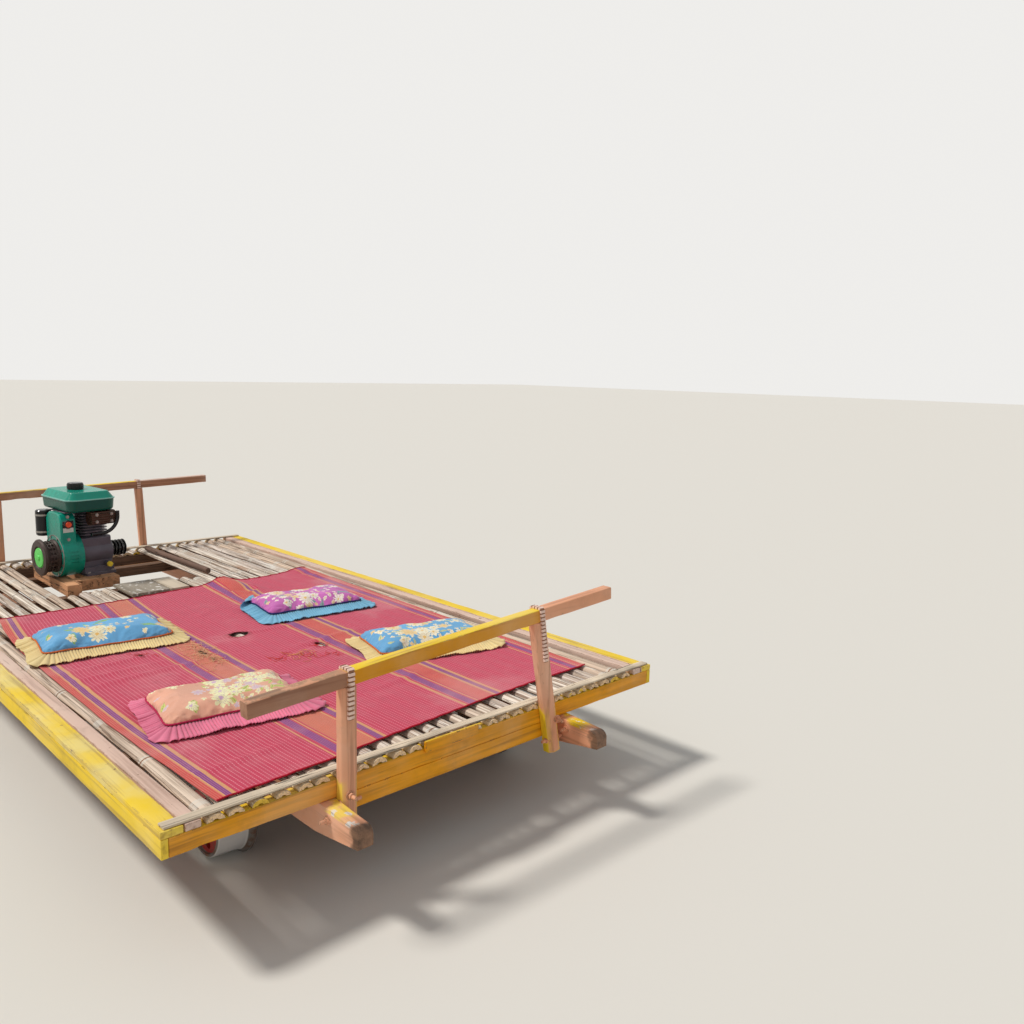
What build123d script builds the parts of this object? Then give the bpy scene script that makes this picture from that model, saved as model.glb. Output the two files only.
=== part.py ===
from build123d import *
from math import atan, cos, degrees, radians, sin, tan
import os

# Bamboo train: a light flat rail car with a bamboo deck, two loose wheelsets and a small engine.
# Millimetres. +X is forward and +Z is up. The pieces called left are on the -Y side, which is on the
# left for someone who looks at the front end. The origin is midway between the wheelsets, on the
# plane that the wheel flanges stand on.

# Running gear
wheelbase = 2200
tread_radius = 100
tread_drop = 3
tread_width = 85
flange_height = 13
flange_thickness = 20
flange_edge = 4
flange_slope = 9
tread_root = 5
rail_gauge = 1000
gauge_play = 5
rim_wall = 13
disc_thickness = 14
disc_setback = 7
hub_radius = 38
hub_inset = 14
disc_holes = 5
disc_hole_radius = 13
axle_radius = 20
axle_stub = 9
seat_clearance = 0.05
collar_radius = 29
collar_width = 14
collar_gap = 5
bearing_radius = 36
bearing_width = 36
bearing_lip = 4
pulley_groove_depth = 9
pulley_groove_pitch = 16
pulley_crest = 3
pulley_floor = 5

# Timber frame
beam_length = 3320
beam_width = 46
beam_height = 85
beam_taper_length = 190
beam_tip_height = 58
beam_tip_drop = 10
beam_tip_round = 22
left_beam_y = -437
right_beam_y = 410
saddle_length = 150
saddle_roof = 46
saddle_gap = 0.2
saddle_cheek = 8
saddle_chamfer = 26
deck_length = 3000
deck_width = 1700
frame_depth = 47
end_board_thickness = 38
lower_board_thickness = 20
side_board_thickness = 18
bearer_width = 50
bearer_ledge = 10
bearer_bays = 5

# Bamboo deck
culm_height = 18
culm_wall = 7
culm_pitch = 55.6
lath_width = 30
lath_thickness = 7
lath_setback = 5
lath_side_gap = 9
outer_plank_width = 52
inner_plank_width = 37
plank_gap = 3
opening_setback = 115
opening_length = 690
opening_left_y = -355
opening_right_y = 240

# Push rails at both ends
post_width = 38
post_depth = 36
post_chamfer = 13
rail_depth = 36
rail_height = 40
rail_chamfer = 3
strap_width = 20
strap_thickness = 4
strap_tail = 100

# Engine, its cradle and the loose pole
engine_setback = 230
engine_y = -190
engine_turn = 6
cradle_height = 48
cradle_side_gap = 22
cradle_lap = 9
cradle_rear_reach = 247
cradle_cross_reach = 96
runner_width = 58
foot_runner_offsets = (-28, 42)
crank_height = 96
crankcase_depth = 164
crankcase_left = -35
crankcase_right = 112
crankcase_radius = 76
case_step = 14
case_round = 10
cover_depth = 12
cover_radius = 56
foot_thickness = 12
foot_margin = 8
foot_inset = 8
sump_height = 38
sump_inset = 4
filler_radius = 13
filler_height = 44
filler_reach = 10
shaft_radius = 10
shaft_depth = 30
shaft_end = 14
engine_pulley_radius = 37
engine_pulley_gap = 8
engine_pulley_groove_count = 4
axle_pulley_radius = 62
axle_pulley_groove_count = 4
shroud_radius = 96
shroud_width = 90
shroud_gap = 0.3
hood_width = 63
hood_half_width = 74
hood_corner = 44
shroud_edge = 5
slot_count = 4
slot_length = 34
slot_width = 5
slot_depth = 3
starter_radius = 81
starter_drum_radius = 68
starter_disc_radius = 46
starter_face = 17
starter_drum_length = 53
starter_bar_count = 20
starter_bar_gap = 11
starter_bar_depth = 6
cylinder_fin = 4
cylinder_fin_pitch = 13
cylinder_fin_count = 8
fin_corner = 14
fin_depth = 16
fin_shroud_gap = 4
fin_right = 94
fin_rear = -60
fin_front = 56
tank_bottom = 296
tank_bracket = 4
tank_plate_depth = 150
tank_plate_inset = 20
tank_seam = 350
tank_top = 382
tank_depth = 300
tank_width = 214
tank_corner = 42
tank_lip = 4
tank_crown_inset = 24
tank_crown_round = 8
tank_draft = 5
tank_floor_round = 14
tank_shift = -25
cap_radius = 33
cap_height = 30
cap_round = 5
cap_y = -10
muffler_depth = 60
muffler_height = 62
muffler_left = -6
muffler_right = 104
muffler_round = 22
hose_radius = 8
hose_top_gap = 6
hose_drop = 20
hose_bend = 75
hose_left = -16
hose_right = 106
cleaner_radius = 33
cleaner_height = 116
cleaner_gap = 5
cleaner_y = -119
cleaner_tank_gap = 6
cleaner_edge = 5
elbow_radius = 15
carburettor_depth = 16
carburettor_left = 14
carburettor_width = 46
carburettor_half_height = 24
carburettor_round = 8
pole_radius = 14
pole_length = 690
pole_lap = 15
pole_turn = 1.2

# Seating and loose boards
cloth_gap = 0.3
mat_thickness = 4
mat_front_gap = 52
mat_rear_gap = 265
cushion_thickness = 52
cushion_corner = 40
cushion_crown = 24
ruffle_thickness = 9
ruffle_width = 58
ruffle_corner = 60
board_thickness = 12
board_length = 222
board_gap = 4

# Heights and places that follow from the sizes above
axle_z = tread_radius + flange_height
beam_bottom = axle_z + bearing_radius + saddle_gap + saddle_roof
beam_top = beam_bottom + beam_height
frame_top = beam_top + frame_depth
deck_top = frame_top + culm_height
beam_ys = {"left": left_beam_y, "right": right_beam_y}
end_x = deck_length / 2
side_y = deck_width / 2
flange_face_y = rail_gauge / 2 - gauge_play
flange_back_y = flange_face_y - flange_thickness
wheel_face_y = flange_face_y + tread_width
opening_rear_x = -end_x + opening_setback
opening_front_x = opening_rear_x + opening_length
bamboo_side_y = side_y - outer_plank_width - plank_gap - inner_plank_width
culm_count = int(2 * bamboo_side_y / culm_pitch)
culm_first_y = -(culm_count - 1) * culm_pitch / 2
engine_x = opening_front_x - engine_setback
cradle_top = frame_top + cradle_height
cradle_left_y = opening_left_y + cradle_side_gap
cylinder_bottom = crank_height + crankcase_radius
hood_left = crankcase_left - shroud_width
hood_right = hood_left + hood_width
fin_left = crankcase_left + fin_shroud_gap
shroud_top = tank_bottom - tank_bracket
muffler_front = fin_front + muffler_depth
pulley_width = engine_pulley_groove_count * pulley_groove_pitch
pulley_near = crankcase_right + engine_pulley_gap
pulley_far = pulley_near + pulley_width
pulley_middle = (pulley_near + pulley_far) / 2
axle_pulley_y = engine_y + pulley_middle * cos(radians(engine_turn))
mat_front_x = end_x - mat_front_gap
mat_rear_x = opening_front_x + mat_rear_gap
mat_bottom = deck_top + cloth_gap
cushion_bottom = mat_bottom + mat_thickness + cloth_gap

# Cross bearers along X: at the opening's rear end, under the engine, at its front end, then evenly forward
opening_bearer_x = opening_front_x + bearer_ledge - bearer_width / 2
bearer_bay = (end_x - end_board_thickness - opening_bearer_x) / bearer_bays
bearer_xs = [opening_rear_x + bearer_ledge - bearer_width / 2]
bearer_xs += [engine_x - cradle_rear_reach + bearer_width / 2]
bearer_xs += [opening_bearer_x + bay * bearer_bay for bay in range(bearer_bays)]

# Widths of the split culms, used in turn from the left side to the right
culm_widths = (48, 43, 46, 44, 49, 45)

# Corner posts: name, end (+1 front), Y of the foot, foot below the deck, lean towards the left in degrees
posts = (
    ("post_front_left", 1, left_beam_y + (beam_width + post_width) / 2, 120, 0),
    ("post_front_right", 1, 344, 158, 11),
    ("post_rear_left", -1, -385, 130, 0),
    ("post_rear_right", -1, 313, 130, 2.5),
)

# Push rails: name, end, Y of its two tips, height of its underside above the deck at Y = 0, slope in degrees
rails = (
    ("rail_front", 1, -663, 580, 249, 3.3),
    ("rail_rear", -1, -660, 670, 311, 1.2),
)

# Cushions: name, X from the mat's near end (+1 its front), Y, size along X and Y without the ruffle, turn
cushions = (
    ("cushion_blue_left", -1, 530, -468, 255, 430, -6),
    ("cushion_peach", 1, 505, -424, 255, 400, -8),
    ("cushion_magenta", -1, 565, 326, 250, 410, -6),
    ("cushion_blue_right", 1, 605, 388, 245, 430, -13),
)

# Ends of the mat: (distance forward of its left corner, Y) of each point, from the left side to the right
mat_rear_edge = ((0, -668), (10, -380), (-18, -20), (-36, 234), (-22, 452), (-72, 700))
mat_front_edge = ((0, -698), (-16, -400), (-46, -100), (-74, 260), (-86, 664))

# Middle of the mat's left side: (distance behind its front left corner, Y)
mat_left_bulge = ((450, -718), (930, -724), (1450, -714))

# Loose boards in front of the opening: Y of both edges
loose_boards = ((-150, 12), (16, 100))


def box(x, y, z):
    """Box between two corners given as (low, high) on each axis."""
    size = [high - low for low, high in (x, y, z)]
    middle = [(low + high) / 2 for low, high in (x, y, z)]
    return Pos(*middle) * Box(*size)


def side_profile(points, y, width):
    """Prism with an outline of (X, Z) points, centred on a Y position."""
    outline = make_face(Plane.XZ * Polyline(*points, close=True))
    return Pos(0, y, 0) * extrude(outline, amount=width / 2, both=True)


def turned(points):
    """Solid turned about the Y axis from an outline of (radius, Y) points."""
    return revolve(make_face(Polyline(*points, close=True)), Axis.Y, 360)


def rod(radius, start, end):
    """Round bar along Y between two Y positions."""
    return Pos(0, (start + end) / 2, 0) * Rot(90, 0, 0) * Cylinder(radius, end - start)


def main_beam(y):
    """Long timber whose tips taper from below and are worn down and round on top."""
    tip_x = beam_length / 2
    taper_x = tip_x - beam_taper_length
    tip_bottom = beam_top - beam_tip_height
    tip_top = beam_top - beam_tip_drop
    half = ((taper_x, beam_bottom), (tip_x, tip_bottom), (tip_x, tip_top), (taper_x, beam_top))
    outline = half + tuple((-x, z) for x, z in reversed(half))
    beam = side_profile(outline, y, beam_width)
    tips = beam.edges().filter_by(Axis.Y).filter_by_position(Axis.Z, tip_top - 1, tip_top + 1)
    return fillet(tips, beam_tip_round)


def end_board(end, low, high, left, right, thickness):
    """Board across one end of the frame, its outer face flush with the frame's end."""
    outer = end * end_x
    inner = outer - end * thickness
    return box(sorted((inner, outer)), (left, right), (low, high))


def lower_board(end):
    """Second board under the end board, between the main beams."""
    left = left_beam_y + beam_width / 2
    right = right_beam_y - beam_width / 2
    return end_board(end, beam_top - frame_depth, beam_top, left, right, lower_board_thickness)


def side_board(side):
    """Fascia along one side of the frame."""
    outer = side * side_y
    return box((-end_x, end_x), sorted((outer, outer - side * side_board_thickness)), (beam_top, frame_top))


def cross_bearers():
    """Timbers that carry the bamboo, laid across the main beams."""
    reach = side_y - side_board_thickness
    rows = [box((x - bearer_width / 2, x + bearer_width / 2), (-reach, reach), (beam_top, frame_top))
            for x in bearer_xs]
    return Compound(children=rows)


def half_culm(width, y, rear, front):
    """Length of split bamboo, laid round side up on the frame."""
    half = width / 2
    inner = half - culm_wall
    outline = Curve() + [
        ThreePointArc((-half, 0), (0, culm_height), (half, 0)),
        Line((half, 0), (inner, 0)),
        ThreePointArc((inner, 0), (0, culm_height - culm_wall), (-inner, 0)),
        Line((-inner, 0), (-half, 0)),
    ]
    length = front - rear
    culm = extrude(make_face(Plane.YZ * outline), length / 2, both=True)
    return Pos(rear + length / 2, y, frame_top) * culm


def culm_side(number, side):
    """Y of one side of a culm, side being -1 or 1."""
    return culm_first_y + number * culm_pitch + side * culm_widths[number % len(culm_widths)] / 2


def culm_deck():
    """Bamboo deck in four groups, cut away round the engine."""
    groups = {"culms_left": [], "culms_right": [], "culms_front": [], "culms_rear": []}
    for number in range(culm_count):
        y = culm_first_y + number * culm_pitch
        width = culm_widths[number % len(culm_widths)]
        if culm_side(number, 1) < opening_left_y:
            groups["culms_left"].append(half_culm(width, y, -end_x, end_x))
        elif culm_side(number, -1) > opening_right_y:
            groups["culms_right"].append(half_culm(width, y, -end_x, end_x))
        else:
            groups["culms_front"].append(half_culm(width, y, opening_front_x, end_x))
            groups["culms_rear"].append(half_culm(width, y, -end_x, opening_rear_x))
    return {name: Compound(children=rows) for name, rows in groups.items()}


def side_planks():
    """Flat planks along both edges of the deck: a broad outer one and a narrow inner one."""
    outer = (side_y - outer_plank_width, side_y)
    inner = (bamboo_side_y, bamboo_side_y + inner_plank_width)
    rows = [sorted((side * near, side * far)) for side in (-1, 1) for near, far in (outer, inner)]
    return Compound(children=[box((-end_x, end_x), row, (frame_top, deck_top)) for row in rows])


def laths():
    """Thin laths that hold the bamboo down across both ends."""
    outer = end_x - lath_setback
    reach = side_y - lath_side_gap
    rows = [box(sorted((end * outer, end * (outer - lath_width))), (-reach, reach),
                (deck_top, deck_top + lath_thickness)) for end in (1, -1)]
    return Compound(children=rows)


def rail_place(end, underside, slope):
    """Frame of a push rail: its origin is under the rail, midway through its depth, at Y = 0."""
    return Pos(end * (end_x + post_depth / 2), 0, deck_top + underside) * Rot(slope, 0, 0)


def push_rail(end, left, right, underside, slope):
    """Squared timber along the top of two posts."""
    middle = (left + right) / 2
    timber = Box(rail_depth, right - left, rail_height, align=(Align.CENTER, Align.CENTER, Align.MIN))
    timber = chamfer(timber.edges().filter_by(Axis.Y), rail_chamfer)
    return rail_place(end, underside, slope) * Pos(0, middle, 0) * timber


def rail_at(end):
    """Row of the push rail at one end."""
    return next(row for row in rails if row[1] == end)


def post(end, y, drop, lean):
    """Upright bolted to the end board, cut to the slope of the push rail on top of it."""
    _, _, _, _, underside, slope = rail_at(end)
    tall = drop + underside + rail_height * 2
    upright = Box(post_depth, post_width, tall, align=(Align.CENTER, Align.CENTER, Align.MIN))
    outer_edges = upright.edges().filter_by(Axis.Z).group_by(Axis.X)[-1 if end > 0 else 0]
    upright = chamfer(outer_edges.sort_by(Axis.Y)[0], post_chamfer)
    place = Pos(end * (end_x + post_depth / 2), y, deck_top - drop) * Rot(lean, 0, 0)
    above = Box(post_depth * 3, deck_width, tall, align=(Align.CENTER, Align.CENTER, Align.MIN))
    return place * upright - rail_place(end, underside, slope) * above


def strap(end, y, drop, lean):
    """Old ribbed belt looped over the push rail and down the outside of its post."""
    _, _, _, _, underside, slope = rail_at(end)
    crossing = y - tan(radians(lean)) * (drop + underside)
    loop = Box(rail_depth + 2 * strap_thickness, strap_width, rail_height + strap_thickness,
               align=(Align.CENTER, Align.CENTER, Align.MIN))
    core = Box(rail_depth, strap_width, rail_height, align=(Align.CENTER, Align.CENTER, Align.MIN))
    over = rail_place(end, underside, slope) * Pos(0, crossing, 0) * (loop - core)
    tail = Pos(end * (post_depth + strap_thickness) / 2, 0, 0) * Box(
        strap_thickness, strap_width, strap_tail + rail_height / 2,
        align=(Align.CENTER, Align.CENTER, Align.MIN))
    reach = drop + underside - strap_tail
    place = Pos(end * (end_x + post_depth / 2), y, deck_top - drop) * Rot(lean, 0, 0)
    return over + place * Pos(0, 0, reach / cos(radians(lean))) * tail


def saddles(end):
    """Hardwood blocks under the main beams, notched to drop over the bearings."""
    low = axle_z - saddle_cheek
    half = saddle_length / 2
    outline = ((-half, beam_bottom), (-half, low + saddle_chamfer), (-half + saddle_chamfer, low),
               (half - saddle_chamfer, low), (half, low + saddle_chamfer), (half, beam_bottom))
    notch_radius = bearing_radius + saddle_gap
    blocks = []
    for y in beam_ys.values():
        notch = Pos(0, y, axle_z) * rod(notch_radius, -beam_width, beam_width)
        mouth = box((-notch_radius, notch_radius), (y - beam_width, y + beam_width), (low - 1, axle_z))
        block = side_profile(outline, y, beam_width) - notch - mouth
        blocks.append(Pos(end * wheelbase / 2, 0, 0) * block)
    return Compound(children=blocks)


def bearings(end):
    """Bearing housings on the axle, with a raised lip at each face."""
    bore = axle_radius + seat_clearance
    half = bearing_width / 2
    body = bearing_radius - bearing_lip / 2
    outline = ((bore, -half), (bearing_radius, -half), (bearing_radius, -half + bearing_lip),
               (body, -half + bearing_lip), (body, half - bearing_lip), (bearing_radius, half - bearing_lip),
               (bearing_radius, half), (bore, half))
    rows = [Pos(end * wheelbase / 2, y, axle_z) * turned(outline) for y in beam_ys.values()]
    return Compound(children=rows)


def axle(end):
    """Round axle with a collar on each side of both bearings."""
    reach = wheel_face_y + axle_stub
    shaft = rod(axle_radius, -reach, reach)
    for y in beam_ys.values():
        for side in (-1, 1):
            near = y + side * (bearing_width / 2 + collar_gap)
            shaft += rod(collar_radius, *sorted((near, near + side * collar_width)))
    return Pos(end * wheelbase / 2, 0, axle_z) * shaft


def wheel():
    """Drum-shaped wheel: tapered tread, flange on the inside, and a holed disc near the outer face."""
    flange_radius = tread_radius + flange_height
    bore = axle_radius + seat_clearance
    rim_inside = tread_radius - rim_wall
    disc_out = wheel_face_y - disc_setback
    disc_in = disc_out - disc_thickness
    outline = (
        (rim_inside, flange_back_y), (flange_radius - flange_edge, flange_back_y),
        (flange_radius, flange_back_y + flange_edge), (flange_radius, flange_face_y - flange_slope),
        (tread_radius + flange_edge, flange_face_y), (tread_radius, flange_face_y + tread_root),
        (tread_radius - tread_drop, wheel_face_y - flange_edge),
        (tread_radius - tread_drop - flange_edge, wheel_face_y), (rim_inside, wheel_face_y),
        (rim_inside, disc_out), (hub_radius + flange_edge, disc_out),
        (hub_radius, wheel_face_y), (bore, wheel_face_y),
        (bore, flange_face_y + hub_inset), (hub_radius, flange_face_y + hub_inset),
        (hub_radius, disc_in), (rim_inside, disc_in),
    )
    solid = turned(outline)
    hole_ring = (rim_inside + hub_radius) / 2
    for number in range(disc_holes):
        turn = Rot(0, 360 / disc_holes * number, 0)
        solid -= turn * Pos(hole_ring, 0, 0) * rod(disc_hole_radius, disc_in - 1, disc_out + 1)
    return solid


def wheels(end):
    """The two wheels of one axle."""
    one = wheel()
    pair = (one, mirror(one, Plane.XZ))
    return Compound(children=[Pos(end * wheelbase / 2, 0, axle_z) * item for item in pair])


def grooved_pulley(radius, groove_count, bore):
    """Belt pulley about Y, its grooves cut as V notches."""
    half = groove_count * pulley_groove_pitch / 2
    outline = [(bore, -half), (radius, -half)]
    for number in range(groove_count):
        middle = -half + (number + 0.5) * pulley_groove_pitch
        mouth = (pulley_groove_pitch - pulley_crest) / 2
        outline += [(radius, middle - mouth),
                    (radius - pulley_groove_depth, middle - pulley_floor / 2),
                    (radius - pulley_groove_depth, middle + pulley_floor / 2),
                    (radius, middle + mouth)]
    outline += [(radius, half), (bore, half)]
    return turned(outline)


def axle_pulley():
    """Driven pulley, fixed on the rear axle in line with the engine's."""
    pulley = grooved_pulley(axle_pulley_radius, axle_pulley_groove_count, axle_radius + seat_clearance)
    return Pos(-wheelbase / 2, axle_pulley_y, axle_z) * pulley


def engine_cradle():
    """Timber frame in the deck's opening that the engine stands on."""
    rear, cross = engine_x - cradle_rear_reach, engine_x + cradle_cross_reach
    height = (frame_top, cradle_top)
    left = (cradle_left_y, cradle_left_y + runner_width)
    right_end = engine_y + foot_runner_offsets[-1] + runner_width
    cradle = box((rear, opening_front_x - cradle_lap), left, height)
    for low in (rear, cross):
        cradle += box((low, low + runner_width), (left[1], right_end), height)
    for offset in foot_runner_offsets:
        runner = (engine_y + offset, engine_y + offset + runner_width)
        cradle += box((rear + runner_width, cross), runner, height)
    return cradle


def on_engine(solid):
    """Move a piece from the engine's own frame, whose origin is under its crankshaft, to the car."""
    return Pos(engine_x, engine_y, cradle_top) * Rot(0, 0, engine_turn) * solid


def on_crank(solid):
    """Move a piece turned about Y to the crankshaft's height."""
    return Pos(0, 0, crank_height) * solid


def crankcase():
    """Crankcase with a round belly, a stepped sump, an oil filler, a foot, a cover and a shaft bore."""
    half = crankcase_depth / 2
    cover = crankcase_right - cover_depth
    foot = box((-half - foot_margin, half + foot_margin),
               (crankcase_left + foot_inset, crankcase_right - foot_inset), (0, foot_thickness))
    block = box((-half + case_step, half - case_step), (crankcase_left, cover - sump_inset),
                (foot_thickness, cylinder_bottom))
    block = fillet(block.edges().filter_by(Axis.Y).sort_by(Axis.Z)[-2:], case_round)
    sump = box((-half, half), (crankcase_left + sump_inset, cover), (foot_thickness, sump_height))
    belly = on_crank(rod(crankcase_radius, crankcase_left, cover))
    plate = on_crank(rod(cover_radius, cover, crankcase_right))
    filler = Pos(half, cover - 2 * filler_radius, filler_height) * Rot(0, 90, 0) * Cylinder(
        filler_radius, 2 * filler_reach)
    bore = on_crank(rod(shaft_radius + seat_clearance, crankcase_right - shaft_depth, crankcase_right + 1))
    return block + belly + plate + foot + sump + filler - bore


def finned_cylinder():
    """Cylinder and head with cooling fins all round, under the plate that carries the tank."""
    core = box((fin_rear + fin_depth, fin_front - fin_depth), (fin_left + fin_depth, fin_right - fin_depth),
               (cylinder_bottom, shroud_top))
    core = chamfer(core.edges().filter_by(Axis.Z), fin_corner)
    for number in range(cylinder_fin_count):
        low = cylinder_bottom + cylinder_fin * 2 + number * cylinder_fin_pitch
        fin = box((fin_rear, fin_front), (fin_left, fin_right), (low, low + cylinder_fin))
        core += chamfer(fin.edges().filter_by(Axis.Z), fin_corner)
    plate = box((-tank_plate_depth / 2, tank_plate_depth / 2), (hood_left + tank_plate_inset, fin_right),
                (shroud_top, tank_bottom))
    return core + plate


def blower_shroud():
    """Sheet housing of the cooling fan: a slotted round drum under a narrower arched hood."""
    drum = on_crank(rod(shroud_radius, hood_left, crankcase_left - shroud_gap))
    hood = box((-hood_half_width, hood_half_width), (hood_left, hood_right), (crank_height, shroud_top))
    top = hood.edges().filter_by(Axis.Y).sort_by(Axis.Z)[-2:]
    shell = drum + fillet(top, hood_corner)
    shell = chamfer(shell.faces().sort_by(Axis.Y)[0].edges(), shroud_edge)
    middle = (hood_left + crankcase_left) / 2
    for number in range(slot_count):
        lift = (number - (slot_count - 1) / 2) * slot_width * 3
        slot = Pos(shroud_radius, middle, 0) * Box(2 * slot_depth, slot_length, slot_width)
        shell -= on_crank(Rot(0, degrees(lift / shroud_radius), 0) * slot)
    return shell


def recoil_starter():
    """Starter on the fan's side: a barred drum between its mounting rim and a flat round face plate."""
    neck = hood_left - starter_drum_length
    face = neck - starter_face
    edge = starter_bar_gap / 2
    rim = starter_drum_radius + edge
    outline = ((0, hood_left), (rim, hood_left), (rim, hood_left - edge),
               (starter_drum_radius, hood_left - 2 * edge), (starter_drum_radius, neck),
               (starter_radius - edge, neck), (starter_radius, neck - edge),
               (starter_radius, face + edge), (starter_radius - edge, face),
               (starter_disc_radius + edge, face), (starter_disc_radius, face + edge), (0, face + edge))
    drum = turned(outline)
    window = (neck + edge, hood_left - 3 * edge)
    for number in range(starter_bar_count):
        cut = box((starter_drum_radius - starter_bar_depth, starter_drum_radius + 1), window,
                  (-starter_bar_gap / 2, starter_bar_gap / 2))
        drum -= Rot(0, 360 / starter_bar_count * number, 0) * cut
    return on_crank(drum)


def engine_pulley():
    """Grooved pulley on the end of the crankshaft."""
    pulley = Pos(0, pulley_middle, 0) * grooved_pulley(engine_pulley_radius, engine_pulley_groove_count, 0)
    shaft = rod(shaft_radius, crankcase_right - shaft_depth + 1, pulley_far + shaft_end)
    return on_crank(pulley + shaft)


def tank_half(up, height, draft, edge_round):
    """Half of the tank, drawn up or down from its seam with sloping sides and a rounded end."""
    seam = Plane((tank_shift, 0, tank_seam), x_dir=(1, 0, 0), z_dir=(0, 0, 1 if up else -1))
    half = extrude(seam * RectangleRounded(tank_depth, tank_width, tank_corner), height, taper=draft)
    return fillet(half.faces().sort_by(Axis.Z)[-1 if up else 0].edges(), edge_round)


def fuel_tank():
    """Pressed tank: a deep lower half and a crowned upper half that meet at a seam lip."""
    crown = tank_top - tank_seam
    upper = tank_half(True, crown, degrees(atan(tank_crown_inset / crown)), tank_crown_round)
    lower = tank_half(False, tank_seam - tank_bottom, tank_draft, tank_floor_round)
    rim = RectangleRounded(tank_depth + 2 * tank_lip, tank_width + 2 * tank_lip, tank_corner + tank_lip)
    lip = Pos(tank_shift, 0, tank_seam) * extrude(rim, tank_lip / 2, both=True)
    return upper + lower + lip


def tank_cap():
    """Screw cap of the tank."""
    cap = Pos(tank_shift, cap_y, tank_top) * Cylinder(
        cap_radius, cap_height, align=(Align.CENTER, Align.CENTER, Align.MIN))
    return fillet(cap.edges().filter_by(GeomType.CIRCLE).sort_by(Axis.Z)[-1], cap_round)


def muffler():
    """Flat rounded exhaust box on the front of the cylinder, under the tank."""
    low = shroud_top - muffler_height
    can = box((fin_front, muffler_front), (muffler_left, muffler_right), (low, shroud_top))
    return fillet(can.edges().filter_by(Axis.Y), muffler_round)


def hose():
    """Bent black pipe that sweeps from under the tank round the front of the exhaust box."""
    top = tank_bottom - hose_top_gap
    turn = top - hose_drop
    low = turn - hose_bend
    middle = hose_right - hose_bend
    part_way = hose_bend * sin(radians(45))
    path = Line((0, hose_right, top), (0, hose_right, turn))
    path += ThreePointArc((0, hose_right, turn), (0, middle + part_way, turn - part_way), (0, middle, low))
    path += Line((0, middle, low), (0, hose_left, low))
    section = Plane(origin=path @ 0, z_dir=path % 0) * Circle(hose_radius)
    return Pos(muffler_front + hose_radius, 0, 0) * sweep(section, path=path)


def air_cleaner():
    """Upright canister behind the hood, with its elbow to the carburettor on the back of the cylinder."""
    x = -hood_half_width - cleaner_gap - cleaner_radius
    low = tank_bottom - cleaner_tank_gap - cleaner_height
    can = Pos(x, cleaner_y, low) * Cylinder(
        cleaner_radius, cleaner_height, align=(Align.CENTER, Align.CENTER, Align.MIN))
    can = chamfer(can.edges().filter_by(GeomType.CIRCLE), cleaner_edge)
    middle = low + cleaner_height / 2
    left = fin_left + carburettor_left
    body = box((x - carburettor_depth, fin_rear), (left, left + carburettor_width),
               (middle - carburettor_half_height, middle + carburettor_half_height))
    elbow = Pos(x, 0, middle) * rod(elbow_radius, cleaner_y, left + carburettor_round)
    return can + elbow + fillet(body.edges().filter_by(Axis.X), carburettor_round)


def cushion(end, inset, y, depth, width, turn):
    """Plain filled cushion with the flat border that its ruffle takes up."""
    x = mat_front_x - inset if end > 0 else mat_rear_x + inset
    body = Box(depth, width, cushion_thickness, align=(Align.CENTER, Align.CENTER, Align.MIN))
    body = fillet(body.edges().filter_by(Axis.Z), cushion_corner)
    body = fillet(body.faces().sort_by(Axis.Z)[-1].edges(), cushion_crown)
    border = Box(depth + 2 * ruffle_width, width + 2 * ruffle_width, ruffle_thickness,
                 align=(Align.CENTER, Align.CENTER, Align.MIN))
    border = fillet(border.edges().filter_by(Axis.Z), ruffle_corner)
    return Pos(x, y, cushion_bottom) * Rot(0, 0, turn) * (body + border)


def mat():
    """Woven mat laid on the bamboo, with wavy ends and a left side that bows outwards."""
    rear = [(mat_rear_x + x, y) for x, y in mat_rear_edge]
    front = [(mat_front_x + x, y) for x, y in mat_front_edge]
    left = [(mat_front_x - x, y) for x, y in mat_left_bulge]
    outline = Spline(*rear) + Line(rear[-1], front[-1]) + Spline(*front) + Spline(front[0], *left, rear[0])
    return Pos(0, 0, mat_bottom) * extrude(make_face(outline), mat_thickness)


def tension_pole():
    """Loose pole on the first whole culm beside the opening, which levers the engine back."""
    number = next(number for number in range(culm_count) if culm_side(number, -1) > opening_right_y)
    pole = Rot(0, 0, pole_turn) * Rot(0, 90, 0) * Cylinder(pole_radius, pole_length)
    x = opening_front_x + pole_lap - pole_length / 2
    return Pos(x, culm_first_y + number * culm_pitch, deck_top + pole_radius + cloth_gap) * pole


def cover_board():
    """Two loose boards that cover part of the deck in front of the opening."""
    low = deck_top + cloth_gap
    rear = opening_front_x + board_gap
    return Compound(children=[box((rear, rear + board_length), edges, (low, low + board_thickness))
                              for edges in loose_boards])


parts = {
    "beam_left": main_beam(left_beam_y),
    "beam_right": main_beam(right_beam_y),
    "end_board_front": end_board(1, beam_top, frame_top, -side_y + side_board_thickness,
                                 side_y - side_board_thickness, end_board_thickness),
    "end_board_rear": end_board(-1, beam_top, frame_top, -side_y + side_board_thickness,
                                side_y - side_board_thickness, end_board_thickness),
    "lower_board_front": lower_board(1),
    "lower_board_rear": lower_board(-1),
    "side_board_left": side_board(-1),
    "side_board_right": side_board(1),
    "cross_bearers": cross_bearers(),
    "side_planks": side_planks(),
    "laths": laths(),
    "engine_cradle": engine_cradle(),
    "crankcase": on_engine(crankcase()),
    "cylinder": on_engine(finned_cylinder()),
    "blower_shroud": on_engine(blower_shroud()),
    "recoil_starter": on_engine(recoil_starter()),
    "fuel_tank": on_engine(fuel_tank()),
    "tank_cap": on_engine(tank_cap()),
    "muffler": on_engine(muffler()),
    "hose": on_engine(hose()),
    "air_cleaner": on_engine(air_cleaner()),
    "engine_pulley": on_engine(engine_pulley()),
    "axle_pulley": axle_pulley(),
    "mat": mat(),
    "tension_pole": tension_pole(),
    "cover_board": cover_board(),
}
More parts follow.
